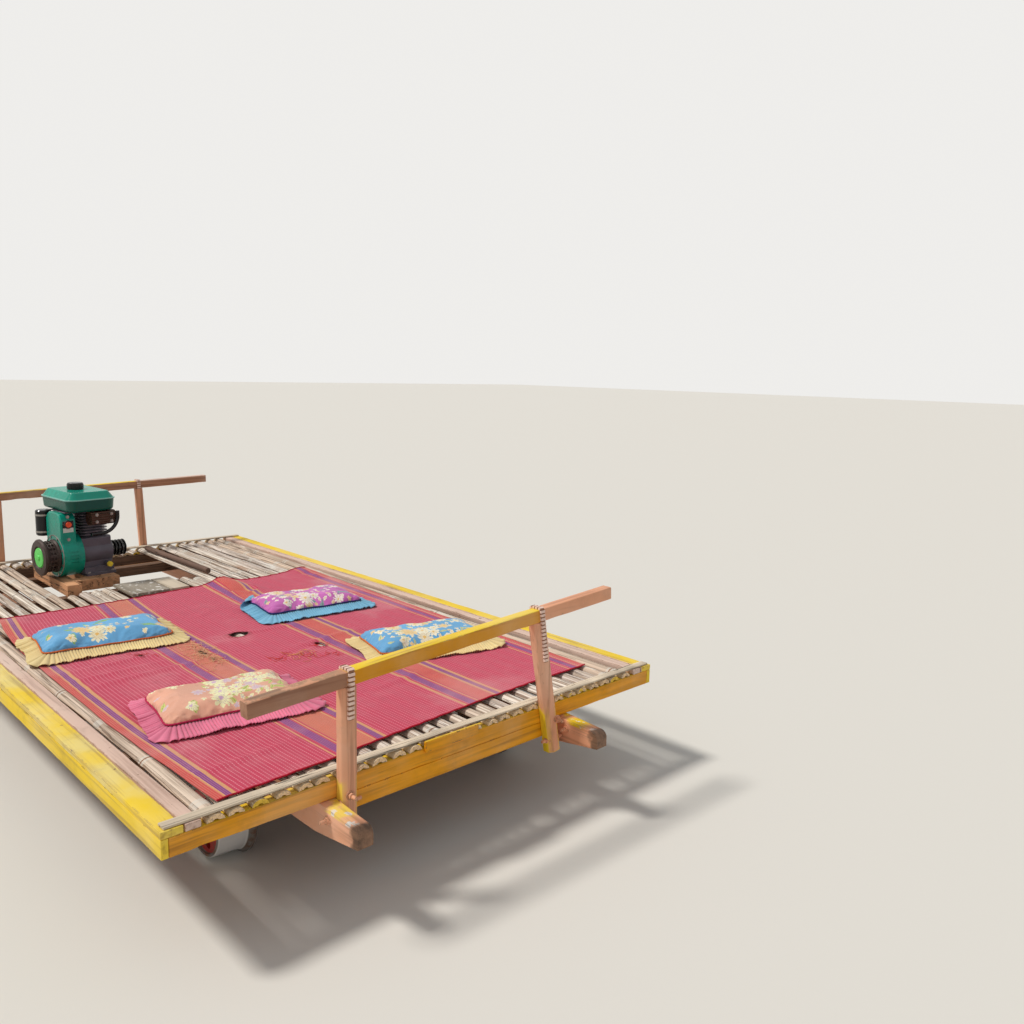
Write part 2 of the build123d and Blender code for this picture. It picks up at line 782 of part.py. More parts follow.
parts.update(culm_deck())
for end, where in ((1, "front"), (-1, "rear")):
    parts["saddles_" + where] = saddles(end)
    parts["bearings_" + where] = bearings(end)
    parts["axle_" + where] = axle(end)
    parts["wheels_" + where] = wheels(end)
for name, end, left, right, underside, slope in rails:
    parts[name] = push_rail(end, left, right, underside, slope)
for name, end, y, drop, lean in posts:
    parts[name] = post(end, y, drop, lean)
for end, where in ((1, "front"), (-1, "rear")):
    parts["straps_" + where] = Compound(
        children=[strap(row_end, y, drop, lean) for _, row_end, y, drop, lean in posts if row_end == end])
for name, end, inset, y, depth, width, turn in cushions:
    parts[name] = cushion(end, inset, y, depth, width, turn)

os.makedirs("parts", exist_ok=True)
for name, solid in parts.items():
    export_step(solid, f"parts/{name}.step")
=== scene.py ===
"""Bamboo train: the finish of its timber, bamboo, engine, mat and cushions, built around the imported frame.

Metres. +X is the front end, +Z is up, and the pieces called left are on the -Y side.
"""

import random
from math import atan2, cos, hypot, pi, radians, sin, tanh

import bmesh
import bpy
from bpy.props import FloatProperty, FloatVectorProperty, IntProperty, PointerProperty
from mathutils import Matrix, Vector, noise


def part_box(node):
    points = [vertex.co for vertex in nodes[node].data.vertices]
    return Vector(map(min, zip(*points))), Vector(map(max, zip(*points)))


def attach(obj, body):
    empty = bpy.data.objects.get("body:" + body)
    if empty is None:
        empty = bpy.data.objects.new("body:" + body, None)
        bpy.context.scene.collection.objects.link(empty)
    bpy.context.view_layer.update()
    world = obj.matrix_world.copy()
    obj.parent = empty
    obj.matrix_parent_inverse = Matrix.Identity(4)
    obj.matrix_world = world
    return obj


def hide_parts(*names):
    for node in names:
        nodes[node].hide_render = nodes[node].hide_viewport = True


bl_info = {
    "name": "Bamboo train",
    "version": (1, 0, 0),
    "blender": (4, 5, 0),
    "location": "View3D > Sidebar > Bamboo train",
    "description": "Dresses a bamboo train: worn paint, split bamboo, engine, woven mat and ruffled cushions",
    "category": "Object",
}

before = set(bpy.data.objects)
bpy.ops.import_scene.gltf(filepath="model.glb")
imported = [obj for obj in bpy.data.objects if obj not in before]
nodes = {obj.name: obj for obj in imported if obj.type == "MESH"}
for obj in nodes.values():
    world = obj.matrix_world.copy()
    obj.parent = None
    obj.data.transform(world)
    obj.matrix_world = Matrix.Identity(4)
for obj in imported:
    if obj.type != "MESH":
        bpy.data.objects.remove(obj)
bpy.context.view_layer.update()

DECK = "deck"
DECK_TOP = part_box("side_planks")[1].z
FRAME_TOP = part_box("side_board_left")[1].z
END_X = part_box("side_board_left")[1].x

# Yellow strip on the front end board, from Y to Y, and how far along X the bolts of the beams sit
STRIP = (-0.140, 0.050)
BEAM_BOLT = 1.535

# Where the frame's paint changes: yellow splash and bare tip of a beam (X from the middle, half width),
# Y where the right planks turn yellow and where the rear rail turns pink, and Z of the posts' yellow feet
SPLASH, BARE_TIP = (1.52, 0.075), (1.588, 0.050)
YELLOW_PLANK, PINK_RAIL, YELLOW_FOOT = (0.800, 0.803), (0.285, 0.275), (0.395, 0.365)

# X at which the culms' ends begin to be painted paler, as painted light
PAINTED_LIGHT_ENDS = (1.462, 1.472)

# Depth that the timber's faces are worn by, and X of the two axles
UNEVEN = 0.0009
AXLES = (("front", 1.1), ("rear", -1.1))

# Wheels: radius of the disc, of the bright edge of the flange, and how far out along Y their faces lie
DISC_RADIUS, BRIGHT_RADIUS, WHEEL_FACE = 0.085, 0.0985, 0.5585

# Mat: length and width that its weave is drawn for, those that its mesh is counted over, pitch of its ribs
WEAVE = (1.88, 1.368)
MESH_SPAN = (1.9, 1.38)
RIB_PITCH = 0.0044

# Turn that a flower or a leaf may have, in radians
FULL_TURN = 6.283

# Points round a cushion's outline before they are spaced evenly, and frames that its filling swells for
OUTLINE_POINTS, SWELL_FRAMES = 1440, 20

# Cushions: spacing along the outline, size of the voxels, pitch and reach of the gathers at the seam
OUTLINE_STEP, VOXEL, GATHER_PITCH, GATHER_REACH = 0.0066, 0.006, 0.017, 0.018

# Flipped corner: how far inside the corner it starts, its radius and how far it rolls, in radians
CURL_START, CURL_RADIUS, CURL_ROLL = 0.012, 0.013, 3.6

# Engine: the point under its crankshaft, and its turn on the cradle
ENGINE_PLACE = Vector((-0.925, -0.190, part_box("engine_cradle")[1].z))
ENGINE_TURN = radians(6)
ENGINE_SPIN = Matrix.Rotation(ENGINE_TURN, 3, "Z")
CRANK_HEIGHT = 0.096

# Places on the engine, in its own frame
TANK_SEAM = 0.350
HOOD_LEFT, HOOD_FRONT, HOOD_MIDDLE = -0.125, 0.074, -0.0935
DRUM_RADIUS = 0.096
STARTER_FACE, STARTER_DISC, STARTER_DRUM = -0.195, 0.045, 0.0685
STARTER_HOOPS = (-0.170, -0.157, -0.144)
COVER_FACE = 0.112
FILLER = (0.092, 0.074, 0.044)
CLEANER = (-0.112, -0.119, 0.174, 0.290)
CLEANER_RADIUS = 0.033
CAP_RADIUS, CAP_RIBS = 0.033, 26

# Cushions: CAD node, turn in degrees, cloth of the body, of the ruffle and of the cord along the seam
# The orange cord is piping; the navy and crimson cords are dark lines of painted shadow under the seam.
CUSHIONS = (
    ("cushion_blue_left", -6, "blue", "butter", "orange"),
    ("cushion_peach", -8, "peach", "pink", "crimson"),
    ("cushion_magenta", -6, "magenta", "sky", "navy_shadow_cord"),
    ("cushion_blue_right", -13, "blue", "butter", "orange"),
)

# Cushion whose rear left corner has flipped over
CURLED = "cushion_magenta"

# Flowers on each cushion: middle of the bunch and its half size as shares of the cushion, how dense,
# and the display colours of petals, heart and leaf
PRINTS = {
    "cushion_blue_left": ((0.15, -0.12), (0.70, 0.42), 0.62, (252, 244, 206), (240, 190, 104), (150, 198, 128)),
    "cushion_peach": ((0.00, 0.30), (1.05, 0.75), 0.95, (250, 245, 190), (216, 176, 206), (206, 212, 118)),
    "cushion_magenta": ((0.10, 0.05), (1.20, 1.10), 0.45, (252, 242, 230), (238, 196, 120), (150, 170, 172)),
    "cushion_blue_right": ((0.30, 0.0), (1.10, 1.00), 0.55, (252, 244, 216), (240, 196, 116), (206, 214, 164)),
}

# Edges of the mat as (X, Y), from rear to front along its sides and from left to right across its ends
MAT_EDGES = {
    "left": ((-0.430, -0.668), (-0.12, -0.706), (0.17, -0.718), (0.68, -0.722), (1.0, -0.718), (1.448, -0.698)),
    "right": ((-0.502, 0.700), (0.30, 0.686), (1.362, 0.664)),
    "rear": ((-0.430, -0.668), (-0.420, -0.38), (-0.428, -0.20), (-0.448, -0.02), (-0.466, 0.234),
             (-0.452, 0.452), (-0.502, 0.700)),
    "front": ((1.448, -0.698), (1.432, -0.40), (1.402, -0.10), (1.374, 0.26), (1.362, 0.664)),
}

# Ridges in the mat: (X, Y) of both ends, height and half width
RIDGES = (
    ((-0.62, 0.234), (-0.28, 0.26), 0.026, 0.055),
    ((-0.56, 0.66), (-0.40, 0.64), 0.008, 0.050),
    ((0.36, -0.70), (0.335, -0.34), 0.0045, 0.013),
    ((0.45, -0.71), (0.43, -0.36), 0.0040, 0.014),
    ((0.53, -0.70), (0.50, -0.16), 0.0050, 0.016),
    ((0.30, -0.22), (0.33, 0.20), 0.0045, 0.013),
    ((0.58, -0.02), (0.52, 0.34), 0.0055, 0.018),
    ((0.70, -0.12), (0.60, 0.12), 0.0045, 0.012),
    ((1.30, -0.68), (1.27, -0.40), 0.0040, 0.014),
    ((1.10, -0.05), (1.06, 0.22), 0.0040, 0.016),
    ((1.02, -0.16), (0.92, 0.10), 0.0035, 0.012),
    ((0.02, -0.10), (-0.10, 0.06), 0.0030, 0.020),
)

# Stripes of the mat: middle and half width as shares of its width, colour
STRIPES = (
    (0.006, 0.006, "scarlet"), (0.016, 0.002, "gold"), (0.024, 0.006, "purple"), (0.033, 0.003, "gold"),
    (0.243, 0.003, "gold"), (0.262, 0.009, "purple"), (0.277, 0.003, "gold"), (0.311, 0.029, "orange"),
    (0.343, 0.003, "gold"), (0.356, 0.008, "purple"), (0.369, 0.003, "gold"),
    (0.600, 0.003, "gold"), (0.620, 0.010, "purple"), (0.636, 0.003, "gold"), (0.664, 0.023, "scarlet"),
    (0.690, 0.003, "gold"), (0.699, 0.005, "purple"), (0.709, 0.003, "gold"),
    (0.946, 0.003, "gold"), (0.963, 0.009, "purple"), (0.980, 0.003, "gold"), (0.994, 0.006, "scarlet"),
)

# Holes worn through the mat: X, Y, half length along X, half width along Y
HOLES = (
    (0.312, -0.068, 0.029, 0.036),
    (0.325, -0.431, 0.024, 0.010),
    (0.605, 0.098, 0.030, 0.015),
    (0.312, 0.532, 0.008, 0.016),
    (0.430, -0.258, 0.034, 0.009),
    (0.520, -0.262, 0.026, 0.008),
)

# Loose threads on the mat: (X, Y) ends of the worn stretch, how many, colour, length of each
FRAYS = (
    ((0.30, -0.245), (0.58, -0.272), 70, "thread", 0.055),
    ((0.66, -0.116), (0.64, -0.05), 10, "scarlet", 0.05),
    ((0.64, -0.05), (0.68, 0.02), 12, "gold", 0.06),
    ((0.68, 0.02), (0.76, 0.07), 12, "scarlet", 0.05),
    ((0.60, 0.06), (0.62, 0.13), 8, "scarlet", 0.03),
    ((1.02, -0.30), (1.10, -0.27), 8, "thread", 0.03),
    ((0.30, -0.46), (0.35, -0.40), 6, "scarlet", 0.03),
)


def tone(red, green, blue):
    """Linear colour of a finish that displays as these 0 to 255 values."""
    return tuple(((value / 255 + 0.055) / 1.055) ** 2.4 for value in (red, green, blue))


def dim(colour, factor):
    """Colour made darker or lighter by a factor."""
    return tuple(min(1.0, value * factor) for value in colour)


def colour(name, description, *display):
    """Colour property with a default given as display values."""
    return FloatVectorProperty(name=name, description=description, subtype="COLOR", size=3,
                               min=0.0, max=1.0, default=tone(*display))


def length(name, description, default):
    """Length property in metres."""
    return FloatProperty(name=name, description=description, unit="LENGTH", min=0.0, default=default)


def tilt(name, description, degrees):
    """Angle property with a default given in degrees."""
    return FloatProperty(name=name, description=description, subtype="ANGLE", default=radians(degrees))


class TimberSettings(bpy.types.PropertyGroup):
    """Paint and wood of the frame, posts and rails."""
    yellow: colour("Yellow", "Paint of the side boards and edge planks", 243, 206, 40)
    ochre: colour("Ochre", "Paint of the end boards", 234, 158, 4)
    salmon: colour("Salmon", "Paint of the posts, rails and beams", 232, 166, 128)
    bare: colour("Bare wood", "Old wood under the paint", 132, 100, 78)
    pink: colour("Faded pink", "Second plank on the left", 222, 190, 172)
    grey: colour("Grey wood", "Laths and loose boards", 200, 184, 162)
    bark: colour("Bark", "Loose pole", 112, 88, 76)
    belt: colour("Belt", "Painted ribs of the old belts", 238, 206, 190)
    cradle: colour("Cradle", "Timber under the engine", 190, 140, 102)
    edge: length("Worn edge", "Rounding of the timber's edges", 0.0025)
    station: length("Station", "Spacing of the cuts that make long faces uneven", 0.04)


class BambooSettings(bpy.types.PropertyGroup):
    """Split bamboo of the deck."""
    straw: colour("Straw", "Palest culms", 250, 238, 222)
    tan: colour("Tan", "Darker culms", 222, 196, 172)
    weathered: colour("Weathered", "Grey culms", 226, 212, 202)
    stain: colour("Stain", "Brown patches", 170, 112, 74)
    smear: colour("Smear", "Yellow paint on some cut ends", 238, 196, 70)
    node_spacing: length("Node spacing", "Distance between the rings of a culm", 0.31)
    wobble: length("Wobble", "How far a culm strays sideways", 0.013)
    swell: FloatProperty(name="Node swell", description="Growth of the radius at a ring", min=0.0, default=0.07)
    seed: IntProperty(name="Seed", description="Changes the culms' shapes and tints", default=7)


class MatSettings(bpy.types.PropertyGroup):
    """Woven mat."""
    crimson: colour("Crimson", "Ground of the mat", 214, 58, 92)
    pale: colour("Pale line", "Fine light lines", 250, 150, 166)
    purple: colour("Purple", "Purple stripes", 146, 50, 140)
    gold: colour("Gold", "Thin lines beside the purple", 236, 168, 110)
    orange: colour("Orange", "Orange field", 226, 118, 92)
    scarlet: colour("Scarlet", "Red field", 226, 78, 70)
    hem: colour("Hem", "Rolled hem at both ends", 196, 30, 56)
    thread: colour("Thread", "Loose threads", 240, 190, 150)
    pitch: length("Line pitch", "Distance between the fine lines", 0.0114)
    dash: length("Dash pitch", "Distance between the dashes of a fine line", 0.0085)
    thickness: length("Thickness", "Thickness of the cloth", 0.002)
    step: length("Mesh step", "Spacing of the cloth's points", 0.010)


class CushionSettings(bpy.types.PropertyGroup):
    """Ruffled cushions."""
    blue: colour("Blue", "Blue cloth", 108, 178, 226)
    peach: colour("Peach", "Peach cloth", 238, 176, 148)
    magenta: colour("Magenta", "Magenta cloth", 212, 112, 190)
    butter: colour("Butter", "Yellow ruffle", 250, 222, 158)
    pink: colour("Pink", "Pink ruffle", 240, 128, 158)
    sky: colour("Sky", "Light blue ruffle", 128, 194, 226)
    orange: colour("Orange cord", "Cord along the seam of the blue cushions", 222, 118, 56)
    # The navy and crimson cords stand for the shade under the seam: painted shadow.
    navy_shadow_cord: colour("Navy cord", "Cord along the seam of the magenta cushion", 34, 50, 110)
    crimson: colour("Crimson cord", "Cord along the seam of the peach cushion", 190, 40, 84)
    seam: length("Seam height", "Height of the seam above the mat", 0.024)
    ruffle: length("Ruffle", "Width of the gathered ruffle", 0.050)
    pleat: length("Pleat", "Pitch of the gathers", 0.0092)
    slab: length("Slab", "Thickness of the filling before it swells", 0.048)
    swell: length("Swell", "Most that a point of the cloth may move", 0.022)
    proud: length("Proud", "How far the filling may stand over its CAD solid", 0.010)
    shift: length("Shift", "How far the filling sits to the rear of the ruffle's middle", 0.010)
    wave: length("Wave", "How far the seam rises and falls", 0.005)
    pressure: FloatProperty(name="Pressure", description="Pressure of the filling", default=4.0)


class EngineSettings(bpy.types.PropertyGroup):
    """Engine and running gear."""
    green: colour("Green", "Tank and fan housing", 8, 142, 120)
    # Pale line painted along the tank's seam as a painted highlight.
    seam_highlight: colour("Lip", "Worn seam of the tank", 132, 190, 178)
    plate: colour("Plate", "Bare plate on the hood", 206, 214, 206)
    button: colour("Button", "Stop button", 226, 84, 48)
    plug: colour("Plug", "Oil plug", 232, 200, 60)
    brown: colour("Brown", "Starter and its cage", 62, 48, 44)
    iron: colour("Iron", "Crankcase and cylinder", 88, 84, 92)
    rust: colour("Rust", "Exhaust box", 84, 58, 46)
    black: colour("Black", "Pipe, air cleaner and pulleys", 22, 22, 24)
    leaf: colour("Leaf green", "Disc on the starter", 96, 208, 96)
    steel: colour("Steel", "Treads of the wheels", 150, 146, 140)
    red: colour("Red", "Discs of the wheels", 158, 40, 34)


class StageSettings(bpy.types.PropertyGroup):
    """Floor, lamps and camera."""
    floor: colour("Floor", "Floor", 226, 222, 214)
    camera: FloatVectorProperty(name="Camera", description="Place of the camera", subtype="TRANSLATION",
                                unit="LENGTH", default=(3.257, -1.540, 1.3312))
    yaw: tilt("Yaw", "Direction of view from +X", 135.82)
    pitch: tilt("Pitch", "Tilt below the horizon", 9.07)
    roll: tilt("Roll", "Tilt of the horizon", 1.39)
    lens: FloatProperty(name="Lens", description="Focal length on a 36 mm sensor", subtype="DISTANCE_CAMERA",
                        default=31.09)
    sun: FloatProperty(name="Key light", description="Strength of the key light", default=2.3)
    sky: FloatProperty(name="Fill light", description="Strength of the world", default=0.42)


class TrainSettings(bpy.types.PropertyGroup):
    """All settings of the bamboo train."""
    timber: PointerProperty(type=TimberSettings)
    bamboo: PointerProperty(type=BambooSettings)
    mat: PointerProperty(type=MatSettings)
    cushions: PointerProperty(type=CushionSettings)
    engine: PointerProperty(type=EngineSettings)
    stage: PointerProperty(type=StageSettings)


class Value:
    """Output of a node. Signs between values add Math nodes to their tree."""

    def __init__(self, owner, socket):
        self.owner, self.socket = owner, socket

    def __add__(self, other):
        return self.owner.math("ADD", self, other)

    def __radd__(self, other):
        return self.owner.math("ADD", other, self)

    def __sub__(self, other):
        return self.owner.math("SUBTRACT", self, other)

    def __rsub__(self, other):
        return self.owner.math("SUBTRACT", other, self)

    def __mul__(self, other):
        return self.owner.math("MULTIPLY", self, other)

    def __truediv__(self, other):
        return self.owner.math("DIVIDE", self, other)

    def __mod__(self, other):
        return self.owner.math("FLOORED_MODULO", self, other)

    def __abs__(self):
        return self.owner.math("ABSOLUTE", self)


class Nodes:
    """Node tree with short calls for the nodes that it uses often."""

    def __init__(self, tree):
        self.tree = tree

    def node(self, kind, feeds=None, **settings):
        """New node with its inputs fed and its settings made."""
        made = self.tree.nodes.new(kind)
        for key, value in settings.items():
            setattr(made, key, value)
        for key, value in (feeds or {}).items():
            self.feed(made.inputs[key], value)
        return made

    def feed(self, socket, value):
        """Link a value to a socket, or set the socket to a number or a colour."""
        if isinstance(value, Value):
            self.tree.links.new(value.socket, socket)
        elif socket.type == "RGBA":
            socket.default_value = (*value, 1.0)
        else:
            socket.default_value = value

    def value(self, kind, feeds=None, output=0, **settings):
        """One output of a new node."""
        return Value(self, self.node(kind, feeds, **settings).outputs[output])

    def math(self, operation, a, b=0.0):
        return self.value("ShaderNodeMath", {0: a, 1: b}, operation=operation)

    def joined(self, x=0.0, y=0.0, z=0.0):
        """Vector of three values."""
        return self.value("ShaderNodeCombineXYZ", {0: x, 1: y, 2: z})

    def values(self, node, *outputs):
        """Several outputs of a node."""
        return [Value(self, node.outputs[output]) for output in outputs]

    def split(self, vector):
        """The three values of a vector."""
        return self.values(self.node("ShaderNodeSeparateXYZ", {0: vector}), 0, 1, 2)


class Finish(Nodes):
    """Material with its node tree."""

    def __init__(self, name, roughness=0.7, metallic=0.0):
        self.material = bpy.data.materials.new(name)
        self.material.use_nodes = True
        super().__init__(self.material.node_tree)
        self.tree.nodes.clear()
        self.surface = self.node("ShaderNodeBsdfPrincipled", {"Roughness": roughness, "Metallic": metallic})
        self.surface.inputs["Specular IOR Level"].default_value = 0.3
        self.node("ShaderNodeOutputMaterial", {0: Value(self, self.surface.outputs[0])})
        self.coords = self.value("ShaderNodeTexCoord", output="Object")
        self.relief_so_far = None

    def at(self, stretch):
        """Coordinates stretched along each axis."""
        return self.value("ShaderNodeMapping", {"Vector": self.coords, "Scale": stretch})

    def local(self, centre, turn=(0, 0, 0)):
        """Coordinates about a centre, turned with the piece."""
        feeds = {"Vector": self.coords, "Location": centre, "Rotation": turn}
        return self.value("ShaderNodeMapping", feeds, vector_type="TEXTURE")

    def axes(self, vector=None):
        return self.split(vector or self.coords)

    def noise(self, scale, detail=4.0, vector=None, rough=0.55, warp=0.0):
        return self.value("ShaderNodeTexNoise", {
            "Vector": vector or self.coords, "Scale": scale, "Detail": detail,
            "Roughness": rough, "Distortion": warp})

    def spots(self, low, high, scale, detail, **settings):
        """Spots of noise between two of its values."""
        return self.band(self.noise(scale, detail, **settings), low, high)

    def band(self, value, low, high):
        """0 before low and 1 past high, smooth between them."""
        feeds = {"Value": value, "From Min": low, "From Max": high}
        return self.value("ShaderNodeMapRange", feeds, interpolation_type="SMOOTHSTEP")

    def near(self, value, middle, half, soft=0.3):
        """1 where value lies within half of middle."""
        away = abs(value - middle)
        return self.band(away, half * (1 + soft), half * (1 - soft))

    def mix(self, share, a, b, mode="MIX"):
        """Colour between a at 0 and b at 1."""
        return self.value("ShaderNodeMix", {0: share, 6: a, 7: b}, 2, data_type="RGBA", blend_type=mode)

    def ramp(self, value, *stops):
        """Colour that follows a value through its stops."""
        made = self.node("ShaderNodeValToRGB", {"Fac": value})
        elements = made.color_ramp.elements
        elements[0].position, elements[-1].position = stops[0][0], stops[-1][0]
        for position, _ in stops[1:-1]:
            elements.new(position)
        for element, (_, shade) in zip(elements, stops):
            element.color = (*shade, 1.0)
        return Value(self, made.outputs[0])

    def attribute(self, name):
        return self.value("ShaderNodeAttribute", output="Fac", attribute_name=name, attribute_type="GEOMETRY")

    def edges(self, radius, low=0.985, high=0.80):
        """1 along the edges of the solid and 0 on its flat faces."""
        bevel = self.value("ShaderNodeBevel", {"Radius": radius}, samples=4)
        true = self.value("ShaderNodeNewGeometry", output="Normal")
        dot = self.value("ShaderNodeVectorMath", {0: bevel, 1: true}, "Value", operation="DOT_PRODUCT")
        return self.band(dot, low, high)

    def facing(self, axis):
        """Component of the surface's normal along an axis, in object space."""
        normal = self.value("ShaderNodeNewGeometry", output="Normal")
        return self.axes(normal)["XYZ".index(axis)]

    def paint(self, shade, roughness=None):
        self.shade = shade
        self.feed(self.surface.inputs["Base Color"], shade)
        if roughness:
            self.feed(self.surface.inputs["Roughness"], roughness)

    def relief(self, height, depth, strength=1.0):
        """Bumps on top of those that the finish has already."""
        feeds = {"Height": height, "Distance": depth, "Strength": strength}
        if self.relief_so_far:
            feeds["Normal"] = self.relief_so_far
        self.relief_so_far = self.value("ShaderNodeBump", feeds)
        self.feed(self.surface.inputs["Normal"], self.relief_so_far)


GRAIN = {"X": (2.0, 55.0, 55.0), "Y": (55.0, 2.0, 55.0), "Z": (55.0, 55.0, 2.0)}
SPLITS = {"X": (0.9, 26.0, 26.0), "Y": (26.0, 0.9, 26.0), "Z": (26.0, 26.0, 0.9)}


def wood_layers(finish, along, bare):
    """Grain, bare wood in its tones, and long thin splits."""
    grain = finish.noise(1.0, 6.0, finish.at(GRAIN[along]))
    wood = finish.ramp(grain, (0.30, dim(bare, 0.5)), (0.48, bare), (0.70, dim(bare, 1.45)))
    lines = finish.noise(1.0, 3.0, finish.at(SPLITS[along]), warp=0.4)
    splits = finish.near(lines, 0.5, 0.006)
    return grain, wood, splits


def timber(name, along, coat, bare, wear=0.5, dirt=0.5, make_coat=None, worn_top=None, cracks=0.25):
    """Painted timber: brush marks, chips down to the wood at edges, fine cracks and dirt."""
    finish = Finish(name, roughness=0.62)
    grain, wood, splits = wood_layers(finish, along, bare)
    paint = make_coat(finish) if make_coat else coat
    tone_noise = finish.noise(3.2, 5.0)
    lighter = finish.mix(finish.band(tone_noise, 0.42, 0.72), paint, (1.0, 0.93, 0.80))
    paint = finish.mix(0.16, paint, lighter)
    paint = finish.mix(finish.band(grain, 0.52, 0.30) * 0.45, paint, dim(bare, 1.1), "MULTIPLY")
    chips = finish.noise(24.0, 9.0, rough=0.68) + finish.edges(0.006) * 0.16
    mask = finish.band(chips, 0.75 - 0.12 * wear, 0.77 - 0.12 * wear)
    if worn_top is not None:
        mask = finish.math("MAXIMUM", mask, worn_top(finish, grain))
    surface = finish.mix(mask, paint, wood)
    grime = finish.spots(0.52, 0.80, 5.5, 8.0, rough=0.7) * dirt
    surface = finish.mix(grime, surface, dim(bare, 0.55))
    patchy = splits * finish.spots(0.50, 0.62, 4.0, 3.0)
    surface = finish.mix(patchy * cracks, surface, dim(bare, 0.25))
    finish.paint(surface, finish.band(grain, -0.6, 1.4))
    finish.relief(grain, 0.0010, 0.5)
    finish.relief(mask, 0.0008, 0.5)
    finish.relief(1.0 - patchy, 0.0016, 0.3 + 0.4 * cracks)
    return finish.material


def bare_timber(name, along, wood_colour, dirt=0.4):
    """Unpainted weathered timber."""
    finish = Finish(name, roughness=0.85)
    grain, wood, splits = wood_layers(finish, along, wood_colour)
    silver = finish.mix(finish.spots(0.45, 0.75, 6.0, 6.0), wood, dim(wood_colour, 1.5))
    grime = finish.spots(0.5, 0.8, 9.0, 8.0, rough=0.7) * dirt
    surface = finish.mix(grime, silver, dim(wood_colour, 0.35))
    finish.paint(finish.mix(splits * 0.85, surface, dim(wood_colour, 0.15)))
    finish.relief(grain, 0.0018, 0.8)
    finish.relief(1.0 - splits, 0.0025)
    return finish.material


def link(name, mesh, materials):
    """New piece of the deck at the origin, with its materials."""
    made = bpy.data.objects.new(name, mesh)
    bpy.context.scene.collection.objects.link(made)
    for material in materials:
        made.data.materials.append(material)
    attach(made, DECK)
    return made


def from_bmesh(bm, name, smooth_angle=35):
    """Mesh of a bmesh, smooth apart from its sharp edges, with its faces pointing out."""
    bmesh.ops.recalc_face_normals(bm, faces=bm.faces)
    mesh = bpy.data.meshes.new(name)
    bm.to_mesh(mesh)
    bm.free()
    mesh.shade_smooth()
    mesh.set_sharp_from_angle(angle=radians(smooth_angle))
    return mesh


def evaluated(made):
    """Mesh of an object with its modifiers applied."""
    graph = bpy.context.evaluated_depsgraph_get()
    graph.update()
    return bpy.data.meshes.new_from_object(made.evaluated_get(graph))


def merged(node):
    """Mesh of a CAD node with its triangles joined and its flat faces whole again."""
    bm = bmesh.new()
    bm.from_mesh(nodes[node].data)
    bmesh.ops.remove_doubles(bm, verts=bm.verts, dist=1e-5)
    bmesh.ops.dissolve_limit(bm, angle_limit=radians(2), verts=bm.verts, edges=bm.edges)
    return bm


def solids_of(node):
    """Points of each separate solid in a CAD node, in order of their lowest Y."""
    bm = bmesh.new()
    bm.from_mesh(nodes[node].data)
    bmesh.ops.remove_doubles(bm, verts=bm.verts, dist=1e-5)
    bm.verts.ensure_lookup_table()
    seen, groups = set(), []
    for first in bm.verts:
        if first.index in seen:
            continue
        seen.add(first.index)
        stack, points = [first], []
        while stack:
            vertex = stack.pop()
            points.append(vertex.co.copy())
            for edge in vertex.link_edges:
                other = edge.other_vert(vertex)
                if other.index not in seen:
                    seen.add(other.index)
                    stack.append(other)
        groups.append(points)
    bm.free()
    return sorted(groups, key=lambda points: min(p.y for p in points))


def span(points):
    """Lowest and highest corner of some points."""
    return Vector(map(min, zip(*points))), Vector(map(max, zip(*points)))


def aged(node, material, edge, station, nicks=0.0022, seed=0.0):
    """Timber in place of a CAD node: the same solid with worn edges and slightly uneven faces."""
    bm = merged(node)
    sharp = [e for e in bm.edges if len(e.link_faces) == 2 and e.calc_face_angle() > radians(20)]
    bmesh.ops.bevel(bm, geom=sharp, offset=edge, segments=2, affect="EDGES", profile=0.6, clamp_overlap=True)
    low, high = span([v.co for v in bm.verts])
    size = high - low
    axis = max(range(3), key=lambda i: size[i])
    normal = Vector([1.0 if i == axis else 0.0 for i in range(3)])
    for number in range(1, int(size[axis] / station)):
        point = low.copy()
        point[axis] = low[axis] + number * station
        everything = bm.verts[:] + bm.edges[:] + bm.faces[:]
        bmesh.ops.bisect_plane(bm, geom=everything, dist=1e-6, plane_co=point, plane_no=normal)
    bm.normal_update()
    offset = Vector((seed, seed * 1.7, -seed))
    moves = []
    for vertex in bm.verts:
        broad = noise.noise(vertex.co * 7.0 + offset)
        fine = noise.noise(vertex.co * 42.0 + offset)
        nick = max(0.0, noise.noise(vertex.co * 19.0 - offset) - 0.28)
        moves.append(vertex.normal * (-UNEVEN * (0.55 + 0.3 * broad + 0.3 * fine) - nicks * nick))
    for vertex, move in zip(bm.verts, moves):
        vertex.co += move
    made = link(node + "_worn", from_bmesh(bm, node, 30), [material])
    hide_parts(node)
    return made


